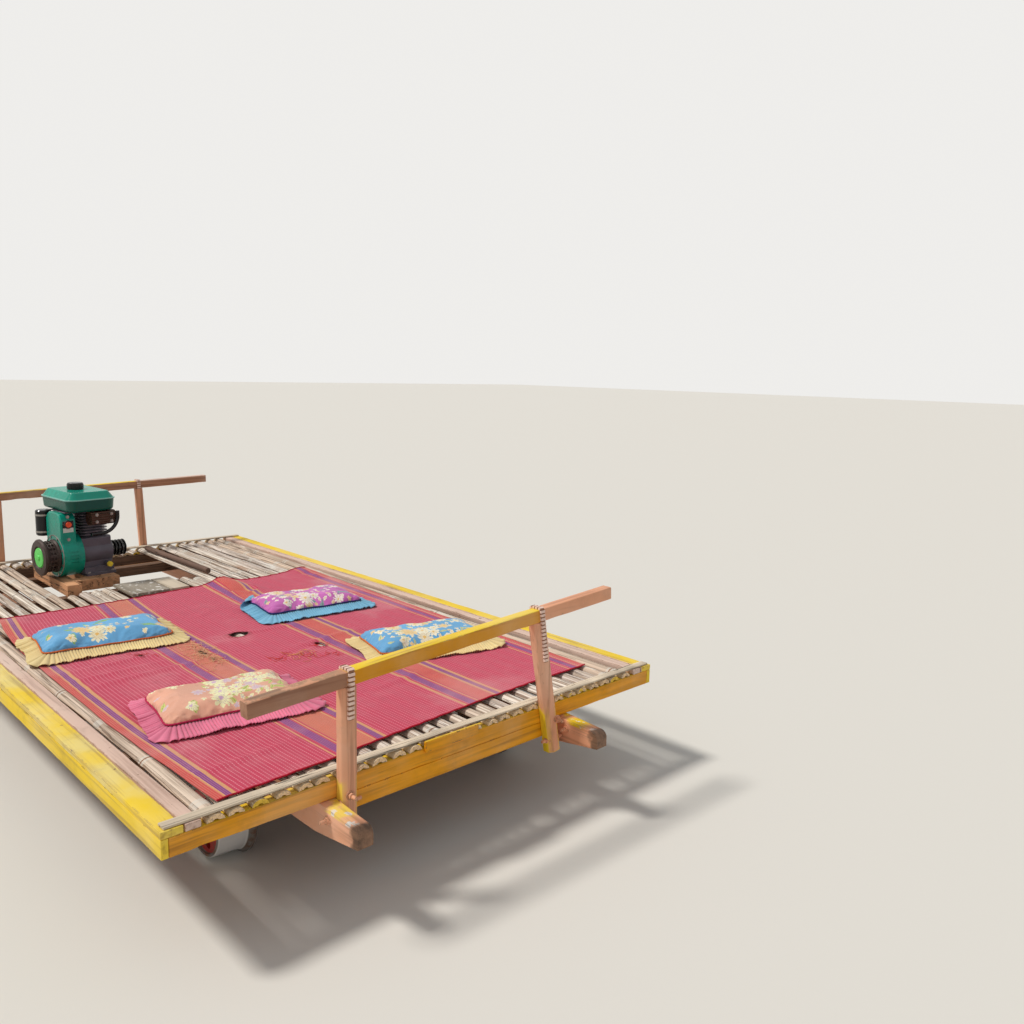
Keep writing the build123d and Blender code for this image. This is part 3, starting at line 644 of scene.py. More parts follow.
class Tree(Nodes):
    """Geometry Nodes tree with named inputs."""

    def __init__(self, name, *inputs):
        super().__init__(bpy.data.node_groups.new(name, "GeometryNodeTree"))
        sockets = self.tree.interface
        sockets.new_socket("Geometry", in_out="INPUT", socket_type="NodeSocketGeometry")
        for label, kind, default in inputs:
            made = sockets.new_socket(label, in_out="INPUT", socket_type="NodeSocket" + kind)
            if default is not None:
                made.default_value = default
        sockets.new_socket("Geometry", in_out="OUTPUT", socket_type="NodeSocketGeometry")
        self.given = {socket.name: Value(self, socket) for socket in self.node("NodeGroupInput").outputs}

    def named(self, name, kind="FLOAT"):
        """Attribute of the points."""
        return self.value("GeometryNodeInputNamedAttribute", {"Name": name}, data_type=kind)

    def both(self, *parts):
        """Parts joined into one geometry."""
        made = self.node("GeometryNodeJoinGeometry")
        for part in parts:
            self.feed(made.inputs[0], part)
        return Value(self, made.outputs[0])

    def end(self, geometry):
        """Finish with real geometry that carries the material."""
        real = self.value("GeometryNodeRealizeInstances", {0: geometry})
        coated = self.value("GeometryNodeSetMaterial", {"Geometry": real, "Material": self.given["Material"]})
        self.node("NodeGroupOutput", {0: coated})
        return self

    def grow(self, name, mesh, material, slot, **values):
        """Run the tree on a mesh and keep the outcome as a plain piece."""
        source = bpy.data.objects.new(name + "_source", mesh)
        bpy.context.scene.collection.objects.link(source)
        modifier = source.modifiers.new("grow", "NODES")
        modifier.node_group = self.tree
        values["Material"] = material
        for item in self.tree.interface.items_tree:
            if item.in_out == "INPUT" and item.name in values:
                modifier[item.identifier] = values[item.name]
        grown = evaluated(source)
        bpy.data.objects.remove(source)
        return link(name, grown, [])


def point_mesh(name, rows):
    """Mesh of loose points with a direction each: rows of (place, direction)."""
    mesh = bpy.data.meshes.new(name)
    mesh.from_pydata([place for place, _ in rows], [], [])
    facing = mesh.attributes.new("facing", "FLOAT_VECTOR", "POINT")
    for item, (_, direction) in zip(facing.data, rows):
        item.vector = direction
    return mesh


def stud_tree():
    """Tree that puts a fastener's head on every point: a prism on a thin washer."""
    tree = Tree("Studs", ("Radius", "Float", 0.006), ("Height", "Float", 0.006), ("Washer", "Float", 0.009),
                ("Sides", "Int", 6), ("Material", "Material", None))
    given = tree.given
    head = tree.value("GeometryNodeMeshCylinder",
                      {"Vertices": given["Sides"], "Radius": given["Radius"], "Depth": given["Height"]})
    middle = tree.joined(z=given["Height"] * 0.5)
    lifted = tree.value("GeometryNodeTransform", {"Geometry": head, "Translation": middle})
    plate = tree.value("GeometryNodeMeshCylinder", {"Vertices": 14, "Radius": given["Washer"], "Depth": 0.0016})
    facing = tree.named("facing", "FLOAT_VECTOR")
    turn = tree.value("FunctionNodeAlignRotationToVector", {"Vector": facing}, axis="Z")
    return tree.end(tree.value("GeometryNodeInstanceOnPoints", {
        "Points": given["Geometry"], "Instance": tree.both(plate, lifted), "Rotation": turn}))


def culm_tree():
    """Tree that sweeps a split culm along each line: crescent section, rings, and a slightly crooked course."""
    tree = Tree("Culms", ("Step", "Float", 0.02), ("Node spacing", "Float", 0.31),
                ("Swell", "Float", 0.07), ("Wobble", "Float", 0.01), ("Seed", "Float", 0.0),
                ("Rise", "Float", 0.8), ("Wall", "Float", 0.72), ("Material", "Material", None))
    given = tree.given
    curve = tree.value("GeometryNodeMeshToCurve", {0: given["Geometry"]})
    curve = tree.value("GeometryNodeResampleCurve", {"Curve": curve, "Length": given["Step"]}, mode="LENGTH")
    tint, half = tree.named("tint"), tree.named("half")
    place = tree.value("GeometryNodeInputPosition")
    shift = tint * 91.7 + given["Seed"]

    def lumps(scale):
        feeds = {"Vector": place, "W": shift, "Scale": scale, "Detail": 2.0}
        return tree.value("ShaderNodeTexNoise", feeds, noise_dimensions="4D")

    sideways = (lumps(1.1) - 0.5) * (given["Wobble"] * 3.0)
    curve = tree.value("GeometryNodeSetPosition", {"Geometry": curve, "Offset": tree.joined(y=sideways)})
    along = tree.value("GeometryNodeSplineParameter", output="Length")
    cell = (along + tint * given["Node spacing"]) % given["Node spacing"]
    away = abs(cell - given["Node spacing"] * 0.5)
    ring = tree.value("ShaderNodeMapRange", {"Value": away, "From Min": 0.022, "From Max": 0.0},
                      interpolation_type="SMOOTHSTEP")
    curve = tree.value("GeometryNodeStoreNamedAttribute", {"Geometry": curve, "Name": "ring", "Value": ring},
                       data_type="FLOAT", domain="POINT")
    radius = half * (ring * given["Swell"] + lumps(9.0) * 0.12 + 0.92)
    curve = tree.value("GeometryNodeSetCurveRadius", {"Curve": curve, "Radius": radius})
    ring_section = tree.value("GeometryNodeCurvePrimitiveCircle", {"Resolution": 18, "Radius": 1.0})
    across, up, _ = tree.split(place)
    under = tree.value("FunctionNodeCompare", {0: up, 1: 0.0}, data_type="FLOAT", operation="LESS_THAN")
    wall = tree.value("GeometryNodeSwitch", {0: under, 1: 1.0, 2: given["Wall"]}, input_type="FLOAT")
    bent = tree.joined(across * wall, abs(up) * wall * given["Rise"] * -1.0)
    section = tree.value("GeometryNodeSetPosition", {"Geometry": ring_section, "Position": bent})
    swept = tree.node("GeometryNodeCurveToMesh", {"Curve": curve, "Profile Curve": section, "Fill Caps": True})
    if "Scale" in swept.inputs:
        tree.feed(swept.inputs["Scale"], tree.value("GeometryNodeInputRadius"))
    return tree.end(tree.value("GeometryNodeSetShadeSmooth", {"Geometry": Value(tree, swept.outputs[0])}))


def belt_tree():
    """Tree that lays ribs and overlapping links of an old belt along a line in an X-Z plane."""
    tree = Tree("Ribbed belt", ("Pitch", "Float", 0.0115), ("Width", "Float", 0.017),
                ("Thickness", "Float", 0.003), ("Rib", "Float", 0.0035), ("Material", "Material", None))
    given = tree.given
    curve = tree.value("GeometryNodeMeshToCurve", {0: given["Geometry"]})
    curve = tree.value("GeometryNodeFilletCurve", {"Curve": curve, "Radius": 0.006, "Count": 3}, mode="POLY")
    points = tree.node("GeometryNodeCurveToPoints", {"Curve": curve, "Length": given["Pitch"]}, mode="LENGTH")
    places, tangent = tree.values(points, 0, "Tangent")
    turn = tree.value("FunctionNodeAlignRotationToVector", {"Vector": tangent}, axis="X", pivot_axis="Y")
    link_size = tree.joined(given["Pitch"] * 1.12, given["Width"] * 0.86, given["Thickness"])
    rib_size = tree.joined(given["Pitch"] * 0.64, given["Width"], given["Thickness"] + given["Rib"])
    marked = []
    # The rib attribute, 1 on the ribs and 0 on the links, lets the finish paint the links dark as painted
    # shadow.
    for size, rib in ((link_size, 0.0), (rib_size, 1.0)):
        cube = tree.value("GeometryNodeMeshCube", {"Size": size})
        feeds = {"Geometry": cube, "Name": "rib", "Value": rib}
        marked.append(tree.value("GeometryNodeStoreNamedAttribute", feeds, data_type="FLOAT", domain="POINT"))
    return tree.end(tree.value("GeometryNodeInstanceOnPoints", {
        "Points": places, "Instance": tree.both(*marked), "Rotation": turn}))


def line_mesh(name, lines, **attributes):
    """Mesh of open lines. Each attribute holds one number for each line."""
    mesh = bpy.data.meshes.new(name)
    places, edges, owner = [], [], []
    for number, points in enumerate(lines):
        start = len(places)
        places += [tuple(point) for point in points]
        edges += [(start + i, start + i + 1) for i in range(len(points) - 1)]
        owner += [number] * len(points)
    mesh.from_pydata(places, edges, [])
    for key, values in attributes.items():
        made = mesh.attributes.new(key, "FLOAT", "POINT")
        made.data.foreach_set("value", [values[number] for number in owner])
    return mesh


def bamboo_finish(settings):
    """Split bamboo: fibres, rings, weathered tints and stains, with yellow paint on some cut ends."""
    finish = Finish("split_bamboo", roughness=0.55)
    tint = finish.attribute("tint")
    ring = finish.attribute("ring")
    base = finish.ramp(tint, (0.0, settings.tan), (0.3, settings.straw), (0.55, settings.weathered),
                       (0.8, settings.straw), (1.0, dim(settings.tan, 1.15)))
    fibre = finish.noise(1.0, 6.0, finish.at((3.0, 160.0, 160.0)))
    base = finish.mix(finish.band(fibre, 0.62, 0.36), base, dim(settings.tan, 0.62))
    patches = finish.noise(1.0, 5.0, finish.at((3.5, 13.0, 13.0)), rough=0.65)
    base = finish.mix(finish.band(patches, 0.60, 0.76) * 0.5, base, settings.stain)
    base = finish.mix(finish.band(patches, 0.40, 0.28) * 0.7, base, (0.82, 0.78, 0.70))
    lines = finish.near(finish.noise(1.0, 2.0, finish.at((1.3, 75.0, 75.0))), 0.5, 0.012)
    base = finish.mix(lines * 0.55, base, dim(settings.stain, 0.4))
    base = finish.mix(finish.near(ring, 0.93, 0.06), base, dim(settings.stain, 0.55))
    base = finish.mix(finish.near(ring, 0.55, 0.22) * 0.55, base, (0.72, 0.68, 0.60))
    # Painted shade: faces that point down, the hollow undersides of the split culms, are painted dark.
    inside = finish.band(finish.facing("Z"), 0.0, -0.3)
    base = finish.mix(inside, base, dim(settings.stain, 0.4))
    ends = finish.band(abs(finish.facing("X")), 0.8, 0.95)
    # The cut faces' pale tone is partly their own colour and partly painted light.
    cut = finish.ramp(finish.noise(160.0, 4.0), (0.32, dim(settings.tan, 0.6)), (0.50, tone(250, 212, 164)))
    # Painted light: the ends of the culms are painted paler, as lit.
    tips = finish.band(abs(finish.axes()[0]), *PAINTED_LIGHT_ENDS)
    base = finish.mix(tips * 0.75, base, tone(250, 226, 186))
    smear = finish.band(tint + finish.noise(40.0, 3.0) * 0.2, 0.86, 0.88)
    base = finish.mix(ends, base, finish.mix(smear, cut, settings.smear))
    finish.paint(base)
    finish.relief(fibre, 0.0010, 0.7)
    finish.relief(1.0 - lines, 0.0018)
    return finish.material


def metal(name, shade, roughness=0.45, metallic=0.0, dirt=0.4, worn=None, grime=(0.10, 0.075, 0.055), wear=0.5):
    """Painted or bare metal with dust, greasy patches and worn edges."""
    finish = Finish(name, roughness=roughness, metallic=metallic)
    cloud = finish.noise(9.0, 7.0, rough=0.65)
    base = finish.mix(finish.band(cloud, 0.42, 0.70), shade, dim(shade, 1.35))
    base = finish.mix(finish.spots(0.50, 0.74, 16.0, 8.0, rough=0.7) * dirt, base, grime)
    if worn is not None:
        rubbed = finish.spots(0.62 - 0.3 * wear, 0.70 - 0.2 * wear, 30.0, 6.0)
        base = finish.mix(finish.edges(0.0035) * rubbed, base, worn)
    finish.paint(base)
    dull = finish.band(cloud, -0.4, 1.6)
    finish.feed(finish.surface.inputs["Roughness"], dull * (roughness * 2.0))
    finish.relief(finish.noise(120.0, 4.0), 0.0004, 0.4)
    return finish


def recoat(node, material):
    """Give a CAD node another material in its own slots."""
    for slot in nodes[node].material_slots:
        slot.material = material


class TRAIN_OT_timber(bpy.types.Operator):
    """Age and paint the frame: beams, boards, bearers, planks and laths"""
    bl_idname = "train.timber"
    bl_label = "Timber frame"

    def execute(self, context):
        s = context.scene.bamboo_train.timber

        def beam_coat(finish):
            x, _, z = finish.axes()
            rubbed = finish.spots(0.36, 0.50, 12.0, 6.0)
            height = z - (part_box("beam_left")[1].z - 0.012)
            top = finish.band(height, -0.004, 0.002)
            far = abs(x)
            yellow = top * finish.near(far, *SPLASH)
            paint = finish.mix(yellow * rubbed, s.salmon, s.yellow)
            chips = finish.near(far, *BARE_TIP) * finish.spots(0.56, 0.60, 24.0, 6.0)
            return finish.mix(top * chips, paint, (0.80, 0.76, 0.70))

        def beam_tips(finish, grain):
            x = abs(finish.axes()[0])
            ragged = x + finish.noise(26.0, 6.0) * 0.05
            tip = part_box("beam_left")[1].x
            return finish.band(ragged, tip - 0.012, tip + 0.004)

        beams = timber("beam_paint", "X", s.salmon, s.bare, 0.5, 0.45, beam_coat, beam_tips)
        for node in ("beam_left", "beam_right"):
            aged(node, beams, s.edge, s.station, seed=1.0)

        def end_coat(finish):
            z = finish.axes()[2]
            # Painted highlight: faces that point up along the end board's top edge are painted bright yellow,
            # as lit.
            high = finish.band(z, FRAME_TOP - 0.010, FRAME_TOP - 0.002)
            high = high * finish.band(finish.facing("Z"), 0.2, 0.6)
            brush = finish.band(finish.noise(1.0, 5.0, finish.at((4.0, 3.0, 70.0))), 0.35, 0.65)
            base = finish.mix(brush, dim(s.ochre, 0.86), dim(s.ochre, 1.12))
            return finish.mix(high * 0.8, base, s.yellow)

        ends = timber("end_board_paint", "Y", s.ochre, dim(s.bare, 0.7), 0.25, 0.30, end_coat)
        for where in ("front", "rear"):
            aged("end_board_" + where, ends, s.edge, s.station, seed=2.0, nicks=0.006)
            aged("lower_board_" + where, ends, s.edge, s.station, seed=3.0)
        bm = bmesh.new()
        low, high = STRIP
        block(bm, (END_X + 0.004, (low + high) / 2, DECK_TOP - 0.012), (0.010, high - low, 0.030))
        for edge in [e for e in bm.edges if abs(e.verts[0].co.y - e.verts[1].co.y) > 0.1]:
            bmesh.ops.subdivide_edges(bm, edges=[edge], cuts=1)
        bmesh.ops.bevel(bm, geom=bm.edges[:], offset=0.0015, segments=2, affect="EDGES")
        link("end_strip", from_bmesh(bm, "end_strip", 30), [ends])
        sides = timber("side_board_paint", "X", s.yellow, dim(s.bare, 0.8), 0.3, 0.35)
        for side in ("left", "right"):
            aged("side_board_" + side, sides, s.edge, s.station, seed=4.0)

        def plank_coat(finish):
            y = finish.axes()[1]
            left = [span(points) for points in solids_of("side_planks")]
            inner_left = finish.band(y, left[0][1].y, left[0][1].y + 0.002)
            on_left = finish.band(y, 0.01, -0.01)
            faded = finish.mix(finish.spots(0.35, 0.7, 5.0, 6.0), s.yellow, (0.84, 0.68, 0.24))
            right = finish.mix(finish.band(y, *YELLOW_PLANK), s.pink, s.yellow)
            return finish.mix(on_left, right, finish.mix(inner_left, faded, s.pink))

        planks = timber("plank_paint", "X", s.yellow, dim(s.bare, 1.2), 0.75, 0.4, plank_coat)
        aged("side_planks", planks, s.edge, s.station, seed=5.0, nicks=0.004)
        grey = bare_timber("lath_wood", "Y", s.grey, 0.35)
        aged("laths", grey, 0.0015, 0.03, seed=6.0, nicks=0.003)
        bearers = bare_timber("bearer_wood", "Y", dim(s.bare, 0.7))
        aged("cross_bearers", bearers, 0.002, 0.12, seed=7.0)
        rough = bare_timber("saddle_wood", "X", dim(s.bare, 0.75), 0.6)
        for where in ("front", "rear"):
            aged("saddles_" + where, rough, 0.002, 0.03, seed=8.0)
        return {"FINISHED"}


class TRAIN_OT_bamboo(bpy.types.Operator):
    """Lay the split bamboo of the deck"""
    bl_idname = "train.bamboo"
    bl_label = "Bamboo deck"

    def execute(self, context):
        s = context.scene.bamboo_train.bamboo
        draw = random.Random(s.seed)
        tree = culm_tree()
        material = bamboo_finish(s)
        for node in ("culms_left", "culms_right", "culms_front", "culms_rear"):
            lines, tints, halves = [], [], []
            for points in solids_of(node):
                low, high = span(points)
                middle = (low.y + high.y) / 2
                skew = draw.uniform(-0.004, 0.004)
                rear = low.x + draw.uniform(0.0, 0.006)
                front = high.x - draw.uniform(0.0, 0.004)
                if low.x > -1.0:
                    rear = low.x + draw.uniform(-0.01, 0.03)
                steps = max(2, int((front - rear) / 0.1))
                lines.append([(rear + (front - rear) * i / steps, middle + skew * (2 * i / steps - 1), low.z)
                              for i in range(steps + 1)])
                tints.append(draw.random())
                halves.append((high.y - low.y) / 2 * draw.uniform(0.84, 1.02))
            mesh = line_mesh(node, lines, tint=tints, half=halves)
            made = tree.grow(node + "_split", mesh, material, "bamboo", Swell=s.swell, Wobble=s.wobble,
                             Seed=float(s.seed), Rise=0.74, Wall=0.34, **{"Node spacing": s.node_spacing})
            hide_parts(node)
        return {"FINISHED"}


class TRAIN_OT_rails(bpy.types.Operator):
    """Posts, push rails, their old belts and bolts"""
    bl_idname = "train.rails"
    bl_label = "Push rails"

    def execute(self, context):
        s = context.scene.bamboo_train.timber
        posts = {where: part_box("post_front_" + where) for where in ("left", "right")}
        inner = [(low.y + high.y) / 2 for low, high in posts.values()]

        def front_coat(finish):
            y = finish.axes()[1]
            ragged = y + finish.noise(40.0, 4.0) * 0.012
            between = finish.band(ragged, inner[0] - 0.004, inner[0] + 0.004)
            between = between * finish.band(ragged, inner[1] - 0.032, inner[1] - 0.040)
            # Painted light: faces that point up are painted lighter, as lit, and the side faces darker, as
            # painted shade. Beyond the left post the salmon is also darker from weathering.
            up = finish.band(finish.facing("Z"), 0.4, 0.7)
            outer = finish.band(ragged, inner[0] + 0.004, inner[0] - 0.004)
            weathered = finish.mix(up, dim(s.salmon, 0.46), dim(s.salmon, 0.80))
            golden_with_painted_light = finish.mix(up, dim(s.ochre, 0.86), s.yellow)
            return finish.mix(between, finish.mix(outer, s.salmon, weathered), golden_with_painted_light)

        def worn_left(finish, grain):
            y = finish.axes()[1]
            top = finish.band(finish.facing("Z"), 0.5, 0.8)
            rubbed = finish.spots(0.42, 0.52, 16.0, 8.0, rough=0.7)
            return finish.band(y, inner[0] + 0.01, inner[0] - 0.04) * top * rubbed

        front = timber("front_rail_paint", "Y", s.salmon, dim(s.bare, 1.7), 0.45, 0.3, front_coat, worn_left)
        aged("rail_front", front, s.edge, 0.03, seed=9.0, nicks=0.005)

        def rear_coat(finish):
            # Faces that point up carry the pink and yellow paint; the side faces are a dimmed salmon, darker as
            # painted shade.
            up = finish.band(finish.facing("Z"), 0.4, 0.7)
            left = finish.band(finish.axes()[1], *PINK_RAIL)
            return finish.mix(up, dim(s.salmon, 0.62), finish.mix(left, s.pink, s.yellow))

        rear = timber("rear_rail_paint", "Y", s.salmon, s.bare, 0.45, 0.4, rear_coat)
        aged("rail_rear", rear, s.edge, 0.03, seed=10.0, nicks=0.005)

        def post_coat(finish):
            z = finish.axes()[2]
            ragged = z + finish.noise(30.0, 6.0) * 0.09
            side = finish.math("MAXIMUM", finish.edges(0.012), finish.band(finish.facing("Y"), -0.6, -0.9))
            low = finish.band(ragged, *YELLOW_FOOT) * side
            return finish.mix(low, s.salmon, s.yellow)

        upright = timber("post_paint", "Z", s.salmon, s.bare, 0.45, 0.35, post_coat)
        corners = ("front_left", "front_right", "rear_left", "rear_right")
        for number, corner in enumerate(corners):
            aged("post_" + corner, upright, s.edge, 0.03, seed=11.0 + number, nicks=0.004)
        self.belts(s)
        self.bolts(s)
        return {"FINISHED"}

    def belts(self, s):
        """Ribbed belts looped over the rails and hung down the posts."""
        finish = Finish("old_belt", roughness=0.8)
        ribs = finish.ramp(finish.noise(45.0, 5.0),
                           (0.30, dim(s.salmon, 0.5)), (0.45, s.belt), (0.7, dim(s.belt, 1.1)))
        # Painted shadow: the links between the ribs are painted dark salmon; the ribs carry the pale paint.
        finish.paint(finish.mix(finish.attribute("rib"), dim(s.salmon, 0.40), ribs))
        tree = belt_tree()
        for where, side in (("front", 1), ("rear", -1)):
            lines = []
            for points in solids_of("straps_" + where):
                low, high = span(points)
                foot = [p for p in points if p.z < low.z + 0.004]
                head = [p for p in points if p.z > high.z - 0.012]
                foot_y = sum(p.y for p in foot) / len(foot)
                head_y = sum(p.y for p in head) / len(head)
                outer, back = (high.x, low.x) if side > 0 else (low.x, high.x)
                inset = 0.002 * side
                under = high.z - 0.040
                lines.append([(outer - inset, foot_y, low.z), (outer - inset, head_y, high.z - inset * side),
                              (back + inset, head_y, high.z - inset * side), (back + inset, head_y, under)])
            made = tree.grow("belts_" + where, line_mesh("belts", lines), finish.material, "belt_rubber")
            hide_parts("straps_" + where)

    def bolts(self, s):
        """Painted bolts of the posts, along X and along Y, and of the left faces of the beams' tips."""
        paint = timber("bolt_paint", "X", s.salmon, dim(s.bare, 1.5), 0.9, 0.4)
        tree = stud_tree()
        nuts = []
        for where, side in (("front", 1), ("rear", -1)):
            for hand in ("left", "right"):
                low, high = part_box(f"post_{where}_{hand}")
                foot = [p.y for p in solids_of(f"post_{where}_{hand}")[0] if p.z < low.z + 0.05]
                foot_y = sum(foot) / len(foot)
                outer, middle = high.x if side > 0 else low.x, (low.x + high.x) / 2
                nuts.append(((outer, foot_y, DECK_TOP - 0.052), (side, 0, 0)))
                nuts.append(((middle, foot_y + 0.019, low.z + 0.042), (0, 1, 0)))
                nuts.append(((middle, foot_y - 0.019, low.z + 0.042), (0, -1, 0)))
        for side in (-1, 1):
            for hand in ("left", "right"):
                low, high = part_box("beam_" + hand)
                nuts.append(((side * BEAM_BOLT, low.y, high.z - 0.030), (0, -1, 0)))
        tree.grow("post_nuts", point_mesh("nuts", nuts), paint, "beam_paint",
                  Radius=0.0085, Height=0.009, Washer=0.013, Sides=6)
        tree.grow("post_bolts", point_mesh("bolts", nuts), paint, "beam_paint",
                  Radius=0.0048, Height=0.024, Washer=0.006, Sides=12)


class TRAIN_OT_running_gear(bpy.types.Operator):
    """Steel of the wheels, axles, bearings and the driven pulley"""
    bl_idname = "train.running_gear"
    bl_label = "Running gear"

    def execute(self, context):
        s = context.scene.bamboo_train.engine
        for where, x in AXLES:
            recoat("wheels_" + where, self.wheel_finish(s, where, x))
        dark = metal("axle_steel", (0.055, 0.048, 0.045), 0.5, 0.6, 0.6, (0.35, 0.33, 0.31), wear=0.8).material
        for node in ("axle_front", "axle_rear", "bearings_front", "bearings_rear"):
            recoat(node, dark)
        iron = metal("pulley_iron", s.black, 0.42, 0.6, 0.3, (0.4, 0.39, 0.37), wear=0.9).material
        recoat("axle_pulley", iron)
        recoat("engine_pulley", iron)
        return {"FINISHED"}

    def wheel_finish(self, s, where, x):
        """Steel tread, bright flange edge, red disc and a dark hollow."""
        finish = Finish("wheel_" + where, roughness=0.4, metallic=0.0)
        middle = finish.local((x, 0.0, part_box("wheels_" + where)[1].z / 2))
        px, py, pz = finish.axes(middle)
        radius = finish.math("SQRT", px * px + pz * pz)
        rusty = finish.spots(0.45, 0.62, 14.0, 8.0, rough=0.7)
        steel = finish.mix(rusty, dim(s.steel, 0.55), (0.14, 0.07, 0.04))
        steel = finish.mix(finish.near(radius, BRIGHT_RADIUS, 0.004), steel, (0.62, 0.61, 0.59))
        flaked = finish.spots(0.60, 0.64, 30.0, 8.0, rough=0.7)
        disc = finish.mix(flaked, s.red, (0.10, 0.055, 0.04))
        outer = finish.band(abs(py), WHEEL_FACE - 0.0035, WHEEL_FACE + 0.0035)
        face = finish.band(radius, DISC_RADIUS + 0.0005, DISC_RADIUS - 0.0005) * outer
        inner = finish.band(abs(py), WHEEL_FACE - 0.0025, WHEEL_FACE - 0.0085)
        hollow = finish.band(radius, DISC_RADIUS + 0.0025, DISC_RADIUS + 0.0015) * inner
        finish.paint(finish.mix(hollow, finish.mix(face, steel, disc), (0.07, 0.045, 0.035)))
        finish.relief(finish.noise(90.0, 6.0), 0.0006, 0.6)
        return finish.material


def disc(bm, start, end, radius, sides=32, taper=1.0):
    """Closed round bar between two places, its far end scaled by a taper."""
    start, end = Vector(start), Vector(end)
    run = end - start
    turn = run.to_track_quat("Z", "Y").to_matrix().to_4x4()
    bmesh.ops.create_cone(bm, cap_ends=True, segments=sides, radius1=radius, radius2=radius * taper,
                          depth=run.length, matrix=Matrix.Translation((start + end) / 2) @ turn)


def block(bm, centre, size, turn=Matrix()):
    """Box of a size about a centre, turned by a matrix."""
    place = Matrix.Translation(Vector(centre)) @ turn @ Matrix.Diagonal((*size, 1.0))
    bmesh.ops.create_cube(bm, size=1.0, matrix=place)


def circle(sides):
    """Cosine and sine of evenly spaced angles."""
    return [(cos(2 * pi * k / sides), sin(2 * pi * k / sides)) for k in range(sides)]


def skin(bm, rings, material=0):
    """Faces between rings of points, from each ring to the next and from the last to the first."""
    for low, high in zip(rings, rings[1:] + rings[:1]):
        for k in range(len(low)):
            after = (k + 1) % len(low)
            bm.faces.new((low[k], low[after], high[after], high[k])).material_index = material


def hoop(bm, centre, radius, thickness, sides):
    """Ring of round wire about a line along Y."""
    centre, axis = Vector(centre), Vector((0, 1, 0))
    across, other = Vector((1, 0, 0)), Vector((0, 0, -1))
    outs = [across * c + other * s for c, s in circle(sides)]
    skin(bm, [[bm.verts.new(centre + radius * out + thickness * (out * c + axis * s)) for c, s in circle(8)]
              for out in outs])


